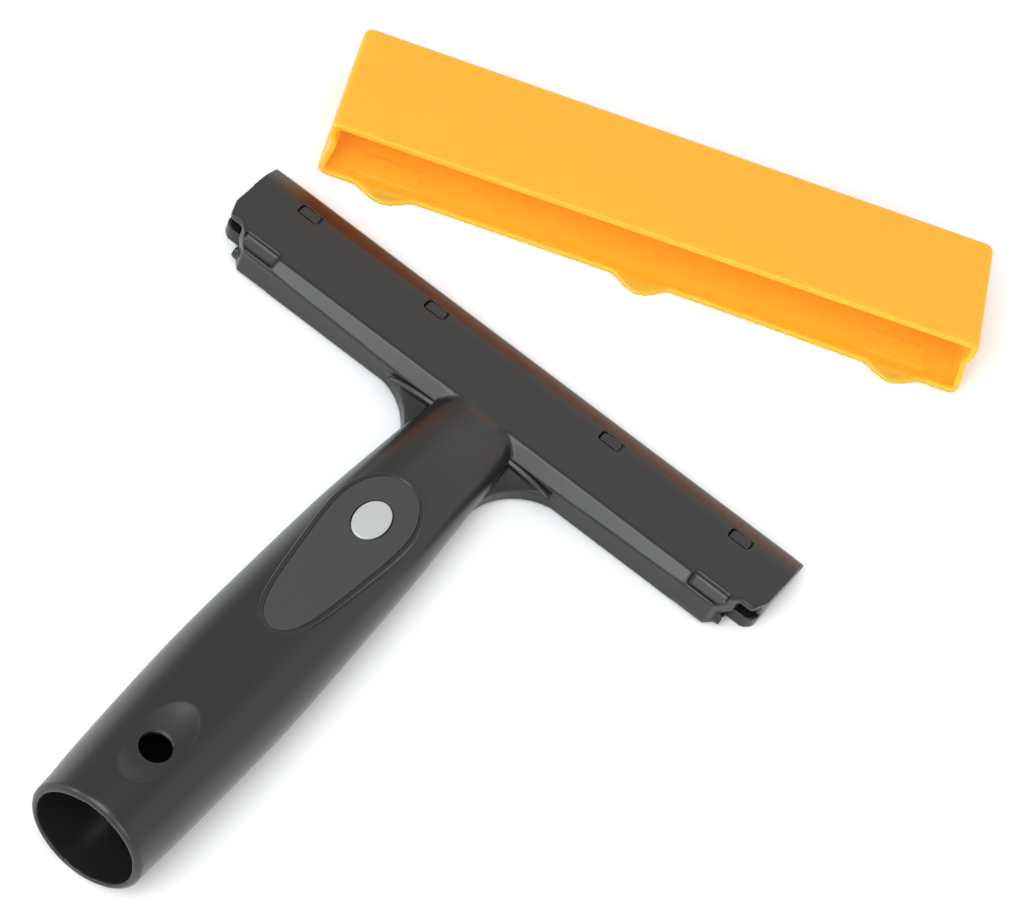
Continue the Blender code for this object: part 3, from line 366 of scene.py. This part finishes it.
def add_world():
    """Soft studio light, with a plain pale background where the camera sees past the floor.

    The light is brightest overhead and a third of the way up the sky. A dark card at the
    left shades one flank of the object.
    """
    world = bpy.data.worlds.new("studio")
    world.use_nodes = True
    tree = world.node_tree
    tree.nodes.clear()
    output = tree.nodes.new("ShaderNodeOutputWorld")
    blend = tree.nodes.new("ShaderNodeMixShader")
    rays = tree.nodes.new("ShaderNodeLightPath")
    where = tree.nodes.new("ShaderNodeTexCoord")
    parts = tree.nodes.new("ShaderNodeSeparateXYZ")
    tree.links.new(where.outputs["Generated"], parts.inputs["Vector"])
    height = ramp_node(tree, SKY_LEVELS)
    tree.links.new(parts.outputs["Z"], height.inputs["Fac"])
    toward = tree.nodes.new("ShaderNodeVectorMath")
    toward.operation = "DOT_PRODUCT"
    toward.inputs[1].default_value = CARD_WAY
    tree.links.new(where.outputs["Generated"], toward.inputs[0])
    card = ramp_node(tree, CARD_LEVELS)
    tree.links.new(toward.outputs["Value"], card.inputs["Fac"])
    both = tree.nodes.new("ShaderNodeMix")
    both.data_type = "RGBA"
    both.blend_type = "MULTIPLY"
    both.inputs["Factor"].default_value = 1.0
    tree.links.new(height.outputs["Color"], both.inputs["A"])
    tree.links.new(card.outputs["Color"], both.inputs["B"])
    soft = tree.nodes.new("ShaderNodeBackground")
    soft.inputs["Strength"].default_value = SKY_STRENGTH
    tree.links.new(both.outputs["Result"], soft.inputs["Color"])
    pale = tree.nodes.new("ShaderNodeBackground")
    pale.inputs["Color"].default_value = (BACKGROUND, BACKGROUND, BACKGROUND, 1.0)
    tree.links.new(rays.outputs["Is Camera Ray"], blend.inputs["Fac"])
    tree.links.new(soft.outputs["Background"], blend.inputs[1])
    tree.links.new(pale.outputs["Background"], blend.inputs[2])
    tree.links.new(blend.outputs["Shader"], output.inputs["Surface"])
    bpy.context.scene.world = world


def add_floor():
    data = bpy.data.meshes.new("floor")
    outline = rectangle(-FLOOR_REACH, FLOOR_REACH, -FLOOR_REACH, FLOOR_REACH)
    data.from_pydata([(x, y, 0.0) for x, y in outline], [], [(0, 1, 2, 3)])
    floor = bpy.data.objects.new("floor", data)
    floor.location.z = -FLOOR_DROP
    bpy.context.scene.collection.objects.link(floor)
    material = bpy.data.materials.new("floor_paper")
    material.use_nodes = True
    shader = material.node_tree.nodes["Principled BSDF"]
    shader.inputs["Base Color"].default_value = (FLOOR_COLOUR, FLOOR_COLOUR, FLOOR_COLOUR, 1.0)
    shader.inputs["Roughness"].default_value = 0.9
    shader.inputs["Specular IOR Level"].default_value = 0.2
    data.materials.append(material)


# Materials


def plastic(name, colour, roughness, grain, bump, mottle=0.0):
    """A moulded plastic: a fine grain, and soft patches where its gloss differs a little."""
    material = bpy.data.materials.new(name)
    material.use_nodes = True
    tree = material.node_tree
    shader = tree.nodes["Principled BSDF"]
    shader.inputs["Base Color"].default_value = (*colour, 1.0)
    shader.inputs["Roughness"].default_value = roughness
    where = tree.nodes.new("ShaderNodeTexCoord")
    noise = tree.nodes.new("ShaderNodeTexNoise")
    noise.inputs["Scale"].default_value = grain
    noise.inputs["Detail"].default_value = GRAIN_DETAIL
    tree.links.new(where.outputs["Object"], noise.inputs["Vector"])
    lift = tree.nodes.new("ShaderNodeBump")
    lift.inputs["Strength"].default_value = bump
    lift.inputs["Distance"].default_value = GRAIN_HEIGHT
    tree.links.new(noise.outputs["Fac"], lift.inputs["Height"])
    tree.links.new(lift.outputs["Normal"], shader.inputs["Normal"])
    if mottle:
        patches = tree.nodes.new("ShaderNodeTexNoise")
        patches.inputs["Scale"].default_value = PATCH_SCALE
        patches.inputs["Detail"].default_value = PATCH_DETAIL
        tree.links.new(where.outputs["Object"], patches.inputs["Vector"])
        gloss = tree.nodes.new("ShaderNodeMapRange")
        gloss.inputs["To Min"].default_value = roughness - mottle
        gloss.inputs["To Max"].default_value = roughness + mottle
        tree.links.new(patches.outputs["Fac"], gloss.inputs["Value"])
        tree.links.new(gloss.outputs["Result"], shader.inputs["Roughness"])
    return material


def cover_plastic():
    """A plastic that light passes through, with a painted glow on the cover's inner faces: an
    emission that stands in for light coming through its wall.
    """
    material = plastic("cover_plastic", COVER_COLOUR, roughness=0.35, grain=2500.0, bump=0.3)
    tree = material.node_tree
    shader = tree.nodes["Principled BSDF"]
    shader.inputs["Subsurface Weight"].default_value = 1.0
    shader.inputs["Subsurface Radius"].default_value = COVER_DEPTHS
    shader.inputs["Subsurface Scale"].default_value = COVER_SCATTER
    # Painted glow: an emission, strongest on the cover's inner faces, that stands in for light
    # coming through its wall.
    shader.inputs["Emission Color"].default_value = (*PAINTED_GLOW_COLOUR, 1.0)
    inside = tree.nodes.new("ShaderNodeAttribute")
    inside.attribute_name = "painted_glow"
    strength = tree.nodes.new("ShaderNodeMapRange")
    strength.inputs["To Max"].default_value = PAINTED_GLOW_STRENGTH
    tree.links.new(inside.outputs["Fac"], strength.inputs["Value"])
    tree.links.new(strength.outputs["Result"], shader.inputs["Emission Strength"])
    return material


def metal(name, colour, roughness, grain, bump, metallic):
    material = plastic(name, colour, roughness, grain, bump)
    material.node_tree.nodes["Principled BSDF"].inputs["Metallic"].default_value = metallic
    return material


def wear(node, material):
    """Gives a CAD node, which stays, a material of its own."""
    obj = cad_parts[node]
    obj.data.materials.clear()
    obj.data.materials.append(material)


# Mesh tools


def solid(name, mesh):
    """An object of a bmesh, which is freed."""
    bmesh.ops.recalc_face_normals(mesh, faces=mesh.faces)
    data = bpy.data.meshes.new(name)
    mesh.to_mesh(data)
    mesh.free()
    obj = bpy.data.objects.new(name, data)
    bpy.context.scene.collection.objects.link(obj)
    return obj


def bake(obj):
    """Gives the object the mesh that its modifiers make."""
    graph = bpy.context.evaluated_depsgraph_get()
    data = bpy.data.meshes.new_from_object(obj.evaluated_get(graph))
    obj.modifiers.clear()
    old = obj.data
    obj.data = data
    bpy.data.meshes.remove(old)


def combine(body, mesh, operation):
    tool = solid("tool", mesh)
    modifier = body.modifiers.new(operation.title(), "BOOLEAN")
    modifier.operation = operation
    modifier.solver = "EXACT"
    modifier.object = tool
    bake(body)
    bpy.data.objects.remove(tool, do_unlink=True)


def copy_of(node, name):
    """A new object with the world-space mesh of a CAD node."""
    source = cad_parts[node]
    mesh = bmesh.new()
    mesh.from_mesh(source.data)
    bmesh.ops.transform(mesh, matrix=source.matrix_world, verts=mesh.verts)
    bmesh.ops.remove_doubles(mesh, verts=mesh.verts, dist=0.001 * MM)
    return solid(name, mesh)


def remesh(obj, voxel):
    modifier = obj.modifiers.new("Remesh", "REMESH")
    modifier.mode = "VOXEL"
    modifier.voxel_size = voxel
    bake(obj)


def soften(obj, rounds):
    """Rounds every edge a little."""
    modifier = obj.modifiers.new("Smooth", "SMOOTH")
    modifier.factor = 0.5
    modifier.iterations = rounds
    bake(obj)
    obj.data.shade_smooth()


def loft(rings, ring_shaped=False):
    """A closed solid through rings of equal point counts, with capped or joined ends."""
    mesh = bmesh.new()
    rows = [[mesh.verts.new(point) for point in ring] for ring in rings]
    if ring_shaped:
        rows.append(rows[0])
    for first, second in zip(rows, rows[1:]):
        for i, vert in enumerate(first):
            j = (i + 1) % len(first)
            mesh.faces.new((vert, first[j], second[j], second[i]))
    if not ring_shaped:
        mesh.faces.new(rows[0])
        mesh.faces.new(reversed(rows[-1]))
    return mesh


def prism_z(outline, low, high, lift=None):
    """A solid from an (x, y) outline, between two Z planes that may follow a slope."""
    rise = lift or (lambda y: 0.0)
    return loft([[(x, y, z + rise(y)) for x, y in outline] for z in (low, high)])


def rod(radius, start, end, end_radius=None):
    """A round bar or cone between two points."""
    turn = (end - start).to_track_quat("Z", "X")
    rings = []
    for centre, size in ((start, radius), (end, end_radius or radius)):
        angles = [math.tau * i / FINE_POINTS for i in range(FINE_POINTS)]
        ring = [Vector((math.cos(a) * size, math.sin(a) * size, 0.0)) for a in angles]
        rings.append([centre + turn @ point for point in ring])
    return loft(rings)


def rectangle(x_low, x_high, y_low, y_high):
    return [(x_low, y_low), (x_high, y_low), (x_high, y_high), (x_low, y_high)]


def curve_value(along, column):
    """A column of the section shares at a place along the handle, as a smooth curve."""
    rows = SECTION_SHARES
    i = 0
    while i < len(rows) - 2 and rows[i + 1][0] < along:
        i += 1

    def slope(k):
        low = rows[max(k - 1, 0)]
        high = rows[min(k + 1, len(rows) - 1)]
        return (high[column] - low[column]) / (high[0] - low[0])

    span = rows[i + 1][0] - rows[i][0]
    t = (along - rows[i][0]) / span
    start = rows[i][column]
    end = rows[i + 1][column]
    return (
        start * (1 + 2 * t) * (1 - t) ** 2
        + slope(i) * span * t * (1 - t) ** 2
        + end * (3 - 2 * t) * t**2
        - slope(i + 1) * span * t**2 * (1 - t)
    )


# Handle


def section(y, half_width, top, bottom, belly_share, lean_share):
    """A ring of the handle: two half ellipses that meet at the widest level."""
    level = mix(bottom, top, belly_share)
    ring = []
    for i in range(FINE_POINTS):
        angle = math.tau * i / FINE_POINTS
        height = top - level if math.sin(angle) >= 0 else level - bottom
        z = level + height * math.sin(angle)
        ring.append((half_width * math.cos(angle), y - (top - z) * lean_share, z))
    return ring


def handle_section(along, shrink):
    """The handle's ring at a share of its length, drawn in by shrink all round."""
    width = mix(NECK_HALF_WIDTH, GRIP_HALF_WIDTH, curve_value(along, 1))
    top = mix(NECK_TOP, MOUTH_RADIUS * 2, curve_value(along, 2))
    bottom = NECK_LIFT * min(1.0, along / NECK_LIFT_RUN_SHARE)
    lean = MOUTH_LEAN_SHARE * max(0.0, 1 - along / MOUTH_LEAN_RUN_SHARE)
    y = MOUTH_Y + HANDLE_LENGTH * along
    belly = curve_value(along, 3)
    return section(y, width + SKIN - shrink, top - shrink, bottom + shrink, belly, lean)


def tube():
    """The handle's outside from its rounded mouth to the rear wall of the head."""
    rings = []
    start = MOUTH_ROUND / HANDLE_LENGTH
    for step in range(MOUTH_TURNS):
        angle = math.pi / 2 * step / MOUTH_TURNS
        shrink = MOUTH_ROUND * (1 - math.sin(angle))
        rings.append(handle_section(start - shrink / HANDLE_LENGTH, shrink))
    for i in range(FINE_RINGS + 1):
        rings.append(handle_section(mix(start, 1.0, i / FINE_RINGS), 0.0))
    return loft(rings)


def spline(a, b, c, d, t):
    """The place at a share t of the way from b to c on a smooth curve through four points."""
    bend = (b * 3 - a - c * 3 + d) * t**3 + (a * 2 - b * 5 + c * 4 - d) * t**2
    return (bend + (c - a) * t) / 2 + b


def through(points, count):
    """A closed smooth curve through points, as a ring of this many more even points."""
    total = len(points)
    ring = []
    for i in range(count):
        place = i * total / count
        k = int(place)
        near = [Vector(points[(k + step) % total]) for step in (-1, 0, 1, 2)]
        ring.append(spline(*near, place - k))
    return ring


def teardrop(grow):
    """The panel's outline from above, moved outward by grow."""
    right = [(width * MM, PANEL_FRONT_Y - back * MM) for back, width in PANEL_OUTLINE]
    left = [(-x, y) for x, y in reversed(right[1:-1])]
    ring = through(right + left, FINE_POINTS)
    points = []
    for i, point in enumerate(ring):
        along = ring[(i + 1) % FINE_POINTS] - ring[i - 1]
        outward = Vector((-along.y, along.x)).normalized()
        points.append(tuple(point + outward * grow))
    return points


def oval(half_width, half_length):
    angles = [math.tau * i / FINE_POINTS for i in range(FINE_POINTS)]
    return [(half_width * math.cos(a), BUTTON_Y + half_length * math.sin(a)) for a in angles]


def panel_lift(y):
    """How much higher the teardrop panel's plane is at y than at the button."""
    return (BUTTON_Y - y) * PANEL_SLOPE_SHARE


def cut_socket(body):
    """The tapered socket in the handle's open end."""
    mouth = Vector((0.0, MOUTH_Y, MOUTH_RADIUS))
    bottom = Vector((0.0, MOUTH_Y + SOCKET_DEPTH, SOCKET_END_HEIGHT))
    outside = mouth.lerp(bottom, -OVERRUN / SOCKET_DEPTH)
    growth = (SOCKET_RADIUS - SOCKET_END_RADIUS) / SOCKET_DEPTH
    wide = SOCKET_RADIUS + growth * OVERRUN
    combine(body, rod(wide, outside, bottom, SOCKET_END_RADIUS), "DIFFERENCE")


def cut_lock_hole(body):
    """The hole for a pole's lock button, with a shallow dimple round it."""
    hole_y = MOUTH_Y + LOCK_HOLE_DEPTH
    top = MOUTH_RADIUS * 2
    dimple = bmesh.new()
    bmesh.ops.create_uvsphere(
        dimple, u_segments=DIMPLE_SEGMENTS, v_segments=DIMPLE_RINGS, radius=1.0
    )
    shape = Matrix.Diagonal((*DIMPLE_SIZE, 1.0))
    place = Matrix.Translation((0.0, hole_y + DIMPLE_SHIFT, top + DIMPLE_SIZE.z - DIMPLE_DEPTH))
    bmesh.ops.transform(dimple, matrix=place @ shape, verts=dimple.verts)
    combine(body, dimple, "DIFFERENCE")
    start = Vector((0.0, hole_y, MOUTH_RADIUS))
    combine(body, rod(LOCK_HOLE_RADIUS, start, Vector((0.0, hole_y, top + OVERRUN))), "DIFFERENCE")


def cut_button_room(body):
    """The room for the panel, the button, its stem and spring, and the latch bar."""
    above = PANEL_HEIGHT + OVERRUN
    floor = PANEL_HEIGHT - PANEL_THICKNESS - FIT_GAP
    combine(body, prism_z(teardrop(PANEL_RIM / 2), floor, above, panel_lift), "DIFFERENCE")
    well = oval(BUTTON_HALF_WIDTH + FIT_GAP, BUTTON_HALF_LENGTH + FIT_GAP)
    combine(body, prism_z(well, WELL_FLOOR, above), "DIFFERENCE")
    seat = rod(SEAT_RADIUS, Vector((0.0, BUTTON_Y, SEAT_FLOOR)), Vector((0.0, BUTTON_Y, above)))
    combine(body, seat, "DIFFERENCE")
    shaft = rectangle(-SHAFT_HALF.x, SHAFT_HALF.x, BUTTON_Y - SHAFT_HALF.y, BUTTON_Y + SHAFT_HALF.y)
    combine(body, prism_z(shaft, SHAFT_FLOOR, above), "DIFFERENCE")
    tunnel = rectangle(-TUNNEL_HALF, TUNNEL_HALF, TUNNEL_REAR, REAR_Y + OVERRUN)
    combine(body, prism_z(tunnel, TUNNEL_LOW, TUNNEL_HIGH), "DIFFERENCE")


def handle_skin():
    """The head's solid with a smooth handle in place of the faceted one.

    The webs overlap it before the remesh, which makes one skin of them.
    """
    body = copy_of("handle_and_upper_jaw", "handle_skin")
    far = MOUTH_Y - OVERRUN * 2
    wide = GRIP_HALF_WIDTH + OVERRUN
    box = rectangle(-wide, wide, far, REAR_Y - NECK_CUT)
    combine(body, prism_z(box, -OVERRUN, SHELL_HIGH.z + OVERRUN), "DIFFERENCE")
    combine(body, tube(), "UNION")
    for x in PEG_PLACES:
        combine(body, window_ledge(x * MM), "UNION")
        combine(body, window_opening(x * MM), "DIFFERENCE")
    cut_socket(body)
    cut_lock_hole(body)
    cut_button_room(body)
    for side in (-1, 1):
        join(body, web(side))
    remesh(body, VOXEL)
    true_facets(body)
    soften(body, HANDLE_ROUNDS)
    for side in (-1, 1):
        join(body, web_bead(side))
    join(body, panel_rim())
    return body


def plate_top(y):
    """How much higher the head's top is at y than at its rear edge."""
    return (PLATE_EDGE.x - y) * PLATE_SLOPE_SHARE


def window_ledge(x):
    """A thin ledge that narrows a window at its top."""
    reach = PEG_HALF + Vector((LEDGE_REACH, LEDGE_REACH))
    outline = rectangle(x - reach.x, x + reach.x, PEG_Y - reach.y, PEG_Y + reach.y)
    return prism_z(outline, PLATE_EDGE.y - LEDGE, PLATE_EDGE.y, plate_top)


def window_opening(x):
    """The opening round a peg's tip, wider at its left end and front left corner."""
    left = x - PEG_HALF.x - FIT_GAP
    right = x + PEG_HALF.x + PEG_GAP
    rear = PEG_Y - PEG_HALF.y - PEG_GAP
    front = PEG_Y + PEG_HALF.y + PEG_GAP
    corner = PEG_Y + PEG_HALF.y + FIT_GAP
    outline = [(left, rear), (right, rear), (right, front), (x, front), (x, corner), (left, corner)]
    return prism_z(outline, PLATE_EDGE.y - LEDGE * 2, PLATE_EDGE.y + LEDGE, plate_top)


def bead_place(x):
    """The Y and Z of a bead's middle line at a distance from the middle of the head."""
    low = [row for row in BEAD_PATH if row[0] * MM <= x][-1:] or [BEAD_PATH[0]]
    high = [row for row in BEAD_PATH if row[0] * MM > x][:1] or [BEAD_PATH[-1]]
    (start, y, z), (end, end_y, end_z) = low[0], high[0]
    share = (x / MM - start) / (end - start) if end > start else 0.0
    return mix(y, end_y, share) * MM, mix(z, end_z, share) * MM


def web(side):
    """A web in one corner of neck and head, up to its bead and down to its hollow edge."""
    centre_y = REAR_Y - WEB_RADIUS + FIT_GAP
    rings = []
    for step in range(WEB_STEPS + 1):
        angle = mix(math.pi / 2, math.pi, step / WEB_STEPS)
        x = WEB_SIDE + math.cos(angle) * WEB_RADIUS
        y = centre_y + math.sin(angle) * WEB_RADIUS - WEB_TIP * step / WEB_STEPS
        bead_z = bead_place(x)[1]
        inside = max(y, REAR_Y) + FIT_GAP
        edge = min(WEB_EDGE, bead_z - WEB_BELOW_BEAD)
        ring = [(y, WEB_LOW), (y, edge), (inside, bead_z - WEB_BELOW_BEAD), (inside, WEB_LOW)]
        rings.append([(x * side, ring_y, ring_z) for ring_y, ring_z in ring])
    return loft(rings)


def panel_rim():
    """The flat rim round the panel, with a rounded outer edge."""
    root = PANEL_HEIGHT - PANEL_ROOT
    rings = [[(x, y, root + panel_lift(y)) for x, y in teardrop(PANEL_RIM)]]
    rings += rounded_edge(PANEL_RIM, PANEL_RIM_EDGE)
    for grow, z in ((PANEL_GAP, PANEL_HEIGHT), (PANEL_GAP, root)):
        rings.append([(x, y, z + panel_lift(y)) for x, y in teardrop(grow)])
    return loft(rings, True)


def rounded_edge(grow, radius):
    """Rings of the teardrop that round a top edge."""
    rings = []
    for step in range(EDGE_TURNS + 1):
        angle = math.pi / 2 * step / EDGE_TURNS
        z = PANEL_HEIGHT - radius * (1 - math.sin(angle))
        outline = teardrop(grow - radius * (1 - math.cos(angle)))
        rings.append([(x, y, z + panel_lift(y)) for x, y in outline])
    return rings


def nearest(point, start, end):
    """The nearest place on a line to a point, and its share of the way from start to end."""
    way = end - start
    share = (point - start).dot(way) / way.length_squared
    return start + way * share, share


def true_facets(body):
    """Gives the head's sloping rear face and rear wall their exact ruled surfaces.

    It also gives the front bevel a fuller curve, which runs on into the plate.
    """
    for vert in body.data.vertices:
        side = abs(vert.co.x)
        place = Vector((vert.co.y, vert.co.z))
        behind = FRONT_Y - place.x
        if behind < BEVEL_SHIFT[-1][0] * MM and place.y > bevel_floor(behind):
            vert.co.z += bevel_shift(behind)
        if not FACET_NEAR < side < HEAD_HALF or POCKET_NEAR < side < POCKET_FAR:
            continue
        share = (CREST_REACH - side) / (CREST_REACH - NECK_HALF_WIDTH)
        crest = CREST_END.lerp(CREST_NECK, min(1.0, share))
        found, along = nearest(place, PLATE_EDGE, crest)
        if 0 < along < 1 and (found - place).length < FACET_BAND:
            vert.co.y, vert.co.z = found
        found, along = nearest(place, crest, WALL_FOOT)
        clear = side > WEB_CLEAR or place.y > bead_place(side)[1] + BEAD_HALF
        if clear and 0 < along < 1 and (found - place).length < WALL_BAND:
            vert.co.y, vert.co.z = found


def bevel_floor(behind):
    """A height just under the head's top face, at a distance behind its front edge."""
    share = min(1.0, behind / BEVEL_DEPTH)
    rise = max(0.0, behind - BEVEL_DEPTH) * PLATE_SLOPE_SHARE
    return mix(BEVEL_LOW, BEVEL_HIGH, share) + rise - BEVEL_BAND


def bevel_shift(behind):
    """How much the head's top face rises at a distance behind its front edge."""
    for (start, low), (end, high) in zip(BEVEL_SHIFT, BEVEL_SHIFT[1:]):
        if start * MM <= behind < end * MM:
            return mix(low, high, ease((behind / MM - start) / (end - start))) * MM
    return 0.0


def web_bead(side):
    """The bead along the top of a web: a rounded strip that leans like the facet above."""
    points = [Vector((x * side, y, z)) * MM for x, y, z in BEAD_PATH]
    path = open_curve(points, BEAD_STEPS)
    rings = []
    last = len(path) - 1
    path = [point + BEAD_DROP * (i / last) for i, point in enumerate(path)]
    for i, point in enumerate(path):
        along = (path[min(i + 1, last)] - path[max(i - 1, 0)]).normalized()
        across = along.cross(BEAD_WAY).normalized()
        left = (path[last] - point).length
        size = math.sqrt(max(BEAD_TIP_SHARE, 1 - max(0.0, 1 - left / BEAD_HALF) ** 2))
        ring = []
        for k in range(BEAD_POINTS):
            angle = math.tau * k / BEAD_POINTS
            side_step = across * BEAD_HALF * blunt(math.cos(angle)) * size
            ring.append(point + side_step + BEAD_WAY * BEAD_THICK * blunt(math.sin(angle)) * size)
        rings.append(ring)
    return loft(rings)


def blunt(value):
    """A superellipse's cosine or sine, which gives it fuller corners."""
    return math.copysign(abs(value) ** BEAD_BLUNTNESS, value)


def open_curve(points, count):
    """Even places on a smooth curve through points."""
    last = len(points) - 1
    places = []
    for i in range(count + 1):
        place = i * last / count
        k = min(int(place), last - 1)
        near = [points[max(k - 1, 0)], points[k], points[k + 1], points[min(k + 2, last)]]
        places.append(spline(*near, place - k))
    return places


def join(body, mesh):
    """Adds a closed skin to the body, with smooth shading."""
    bmesh.ops.recalc_face_normals(mesh, faces=mesh.faces)
    for face in mesh.faces:
        face.smooth = True
    mesh.from_mesh(body.data)
    mesh.to_mesh(body.data)
    mesh.free()


# Panel, button, jaw and cover


def panel_skin():
    """The teardrop panel with a rounded top edge and the button's opening."""
    low = PANEL_HEIGHT - PANEL_THICKNESS
    rings = [[(x, y, low + panel_lift(y)) for x, y in teardrop(0.0)]]
    rings += rounded_edge(0.0, PANEL_EDGE)
    body = solid("panel_skin", loft(rings))
    opening = oval(BUTTON_HALF_WIDTH + FIT_GAP, BUTTON_HALF_LENGTH + FIT_GAP)
    combine(body, prism_z(opening, low - OVERRUN, PANEL_HEIGHT + OVERRUN), "DIFFERENCE")
    return body


def button_skin():
    """The oval button: straight sides, a rounded edge and a slightly domed face."""
    top = BUTTON_HIGH.z - panel_lift(BUTTON_LOW.y)
    rings = [[(x, y, BUTTON_LOW.z) for x, y in oval(BUTTON_HALF_WIDTH, BUTTON_HALF_LENGTH)]]
    for step in range(EDGE_TURNS + 1):
        angle = math.pi / 2 * step / EDGE_TURNS
        inset = BUTTON_EDGE * (1 - math.cos(angle))
        z = top - BUTTON_DOME - BUTTON_EDGE * (1 - math.sin(angle))
        ring = oval(BUTTON_HALF_WIDTH - inset, BUTTON_HALF_LENGTH - inset)
        rings.append([(x, y, z + panel_lift(y)) for x, y in ring])
    for step in range(1, EDGE_TURNS):
        share = 1 - step / EDGE_TURNS
        half_width = (BUTTON_HALF_WIDTH - BUTTON_EDGE) * share
        ring = oval(half_width, (BUTTON_HALF_LENGTH - BUTTON_EDGE) * share)
        z = top - BUTTON_DOME * share**2
        rings.append([(x, y, z + panel_lift(y)) for x, y in ring])
    return solid("button_skin", loft(rings))


def jaw_skin():
    """The clamp jaw with its edges rounded a little."""
    body = copy_of("clamp_jaw", "jaw_skin")
    remesh(body, JAW_VOXEL)
    soften(body, JAW_ROUNDS)
    return body


def cover_skin():
    """The blade cover, with its lip bowed outward a little towards one end."""
    body = copy_of("blade_cover", "cover_skin")
    remesh(body, COVER_VOXEL)
    turn = Matrix.Rotation(COVER_TURN, 3, "Z")
    for vert in body.data.vertices:
        local = turn.transposed() @ (vert.co - COVER_PLACE)
        share = (local.x - LIP_BOW_START) / LIP_BOW_RUN
        if share > 0 and local.y < LIP_BOW_DEPTH and local.z < LIP_BOW_HEIGHT:
            bow = LIP_BOW * ease(min(share, 1.0))
            bow *= (1 - max(local.y, 0.0) / LIP_BOW_DEPTH) * (1 - local.z / LIP_BOW_HEIGHT)
            vert.co -= turn @ Vector((0.0, bow, 0.0))
    soften(body, COVER_ROUNDS)
    mark_painted_glow(body, turn)
    return body


def mark_painted_glow(body, turn):
    """An attribute that is 1 on the cover's inner faces, where the material paints a glow that
    stands in for light coming through its wall.
    """
    painted_glow = body.data.attributes.new("painted_glow", "FLOAT", "POINT")
    for vert, item in zip(body.data.vertices, painted_glow.data):
        local = turn.transposed() @ (vert.co - COVER_PLACE)
        across = COVER_SIZE.x - abs(local.x)
        inward = min(across, COVER_SIZE.y - local.y, COVER_SIZE.z - local.z, local.z)
        item.value = clamp((inward - PAINTED_GLOW_START) / PAINTED_GLOW_RUN) * clamp(local.y / PAINTED_GLOW_MOUTH)


def dress(piece, node, body, material):
    """Puts a skin in the place of its CAD node."""
    piece.data.materials.clear()
    piece.data.materials.append(material)
    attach(piece, body)
    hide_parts(node)


def add_spring(material):
    """The button's spring, a copy of its solid with a mesh of its own."""
    spring = copy_of("button_spring", "spring_skin")
    dress(spring, "button_spring", "handle", material)
    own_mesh(spring)


# The scene

add_camera()
add_world()
add_floor()
for name, softbox in SOFTBOXES.items():
    add_softbox(name, *softbox)
black = plastic("black_plastic", (0.0100, 0.0102, 0.0098), 0.30, 3000.0, 0.3, mottle=0.03)
grey = plastic("panel_plastic", (0.033, 0.033, 0.0335), 0.55, 5000.0, 0.8)
silver = metal("button_silver", (0.53, 0.54, 0.54), 0.45, 4000.0, 0.8, metallic=0.6)
steel = metal("blade_steel", (0.60, 0.61, 0.62), 0.25, 900.0, 0.2, metallic=1.0)
orange = cover_plastic()
for node in ("button_stem", "latch_bar"):
    wear(node, black)
for node in ("blade", "hinge_pin_left", "hinge_pin_right"):
    wear(node, steel)
dress(handle_skin(), "handle_and_upper_jaw", "handle", black)
dress(jaw_skin(), "clamp_jaw", "jaw", black)
dress(panel_skin(), "grip_panel", "handle", grey)
dress(button_skin(), "release_button", "button", silver)
dress(cover_skin(), "blade_cover", "cover", orange)
add_spring(steel)
bpy.context.scene.view_settings.view_transform = "Standard"
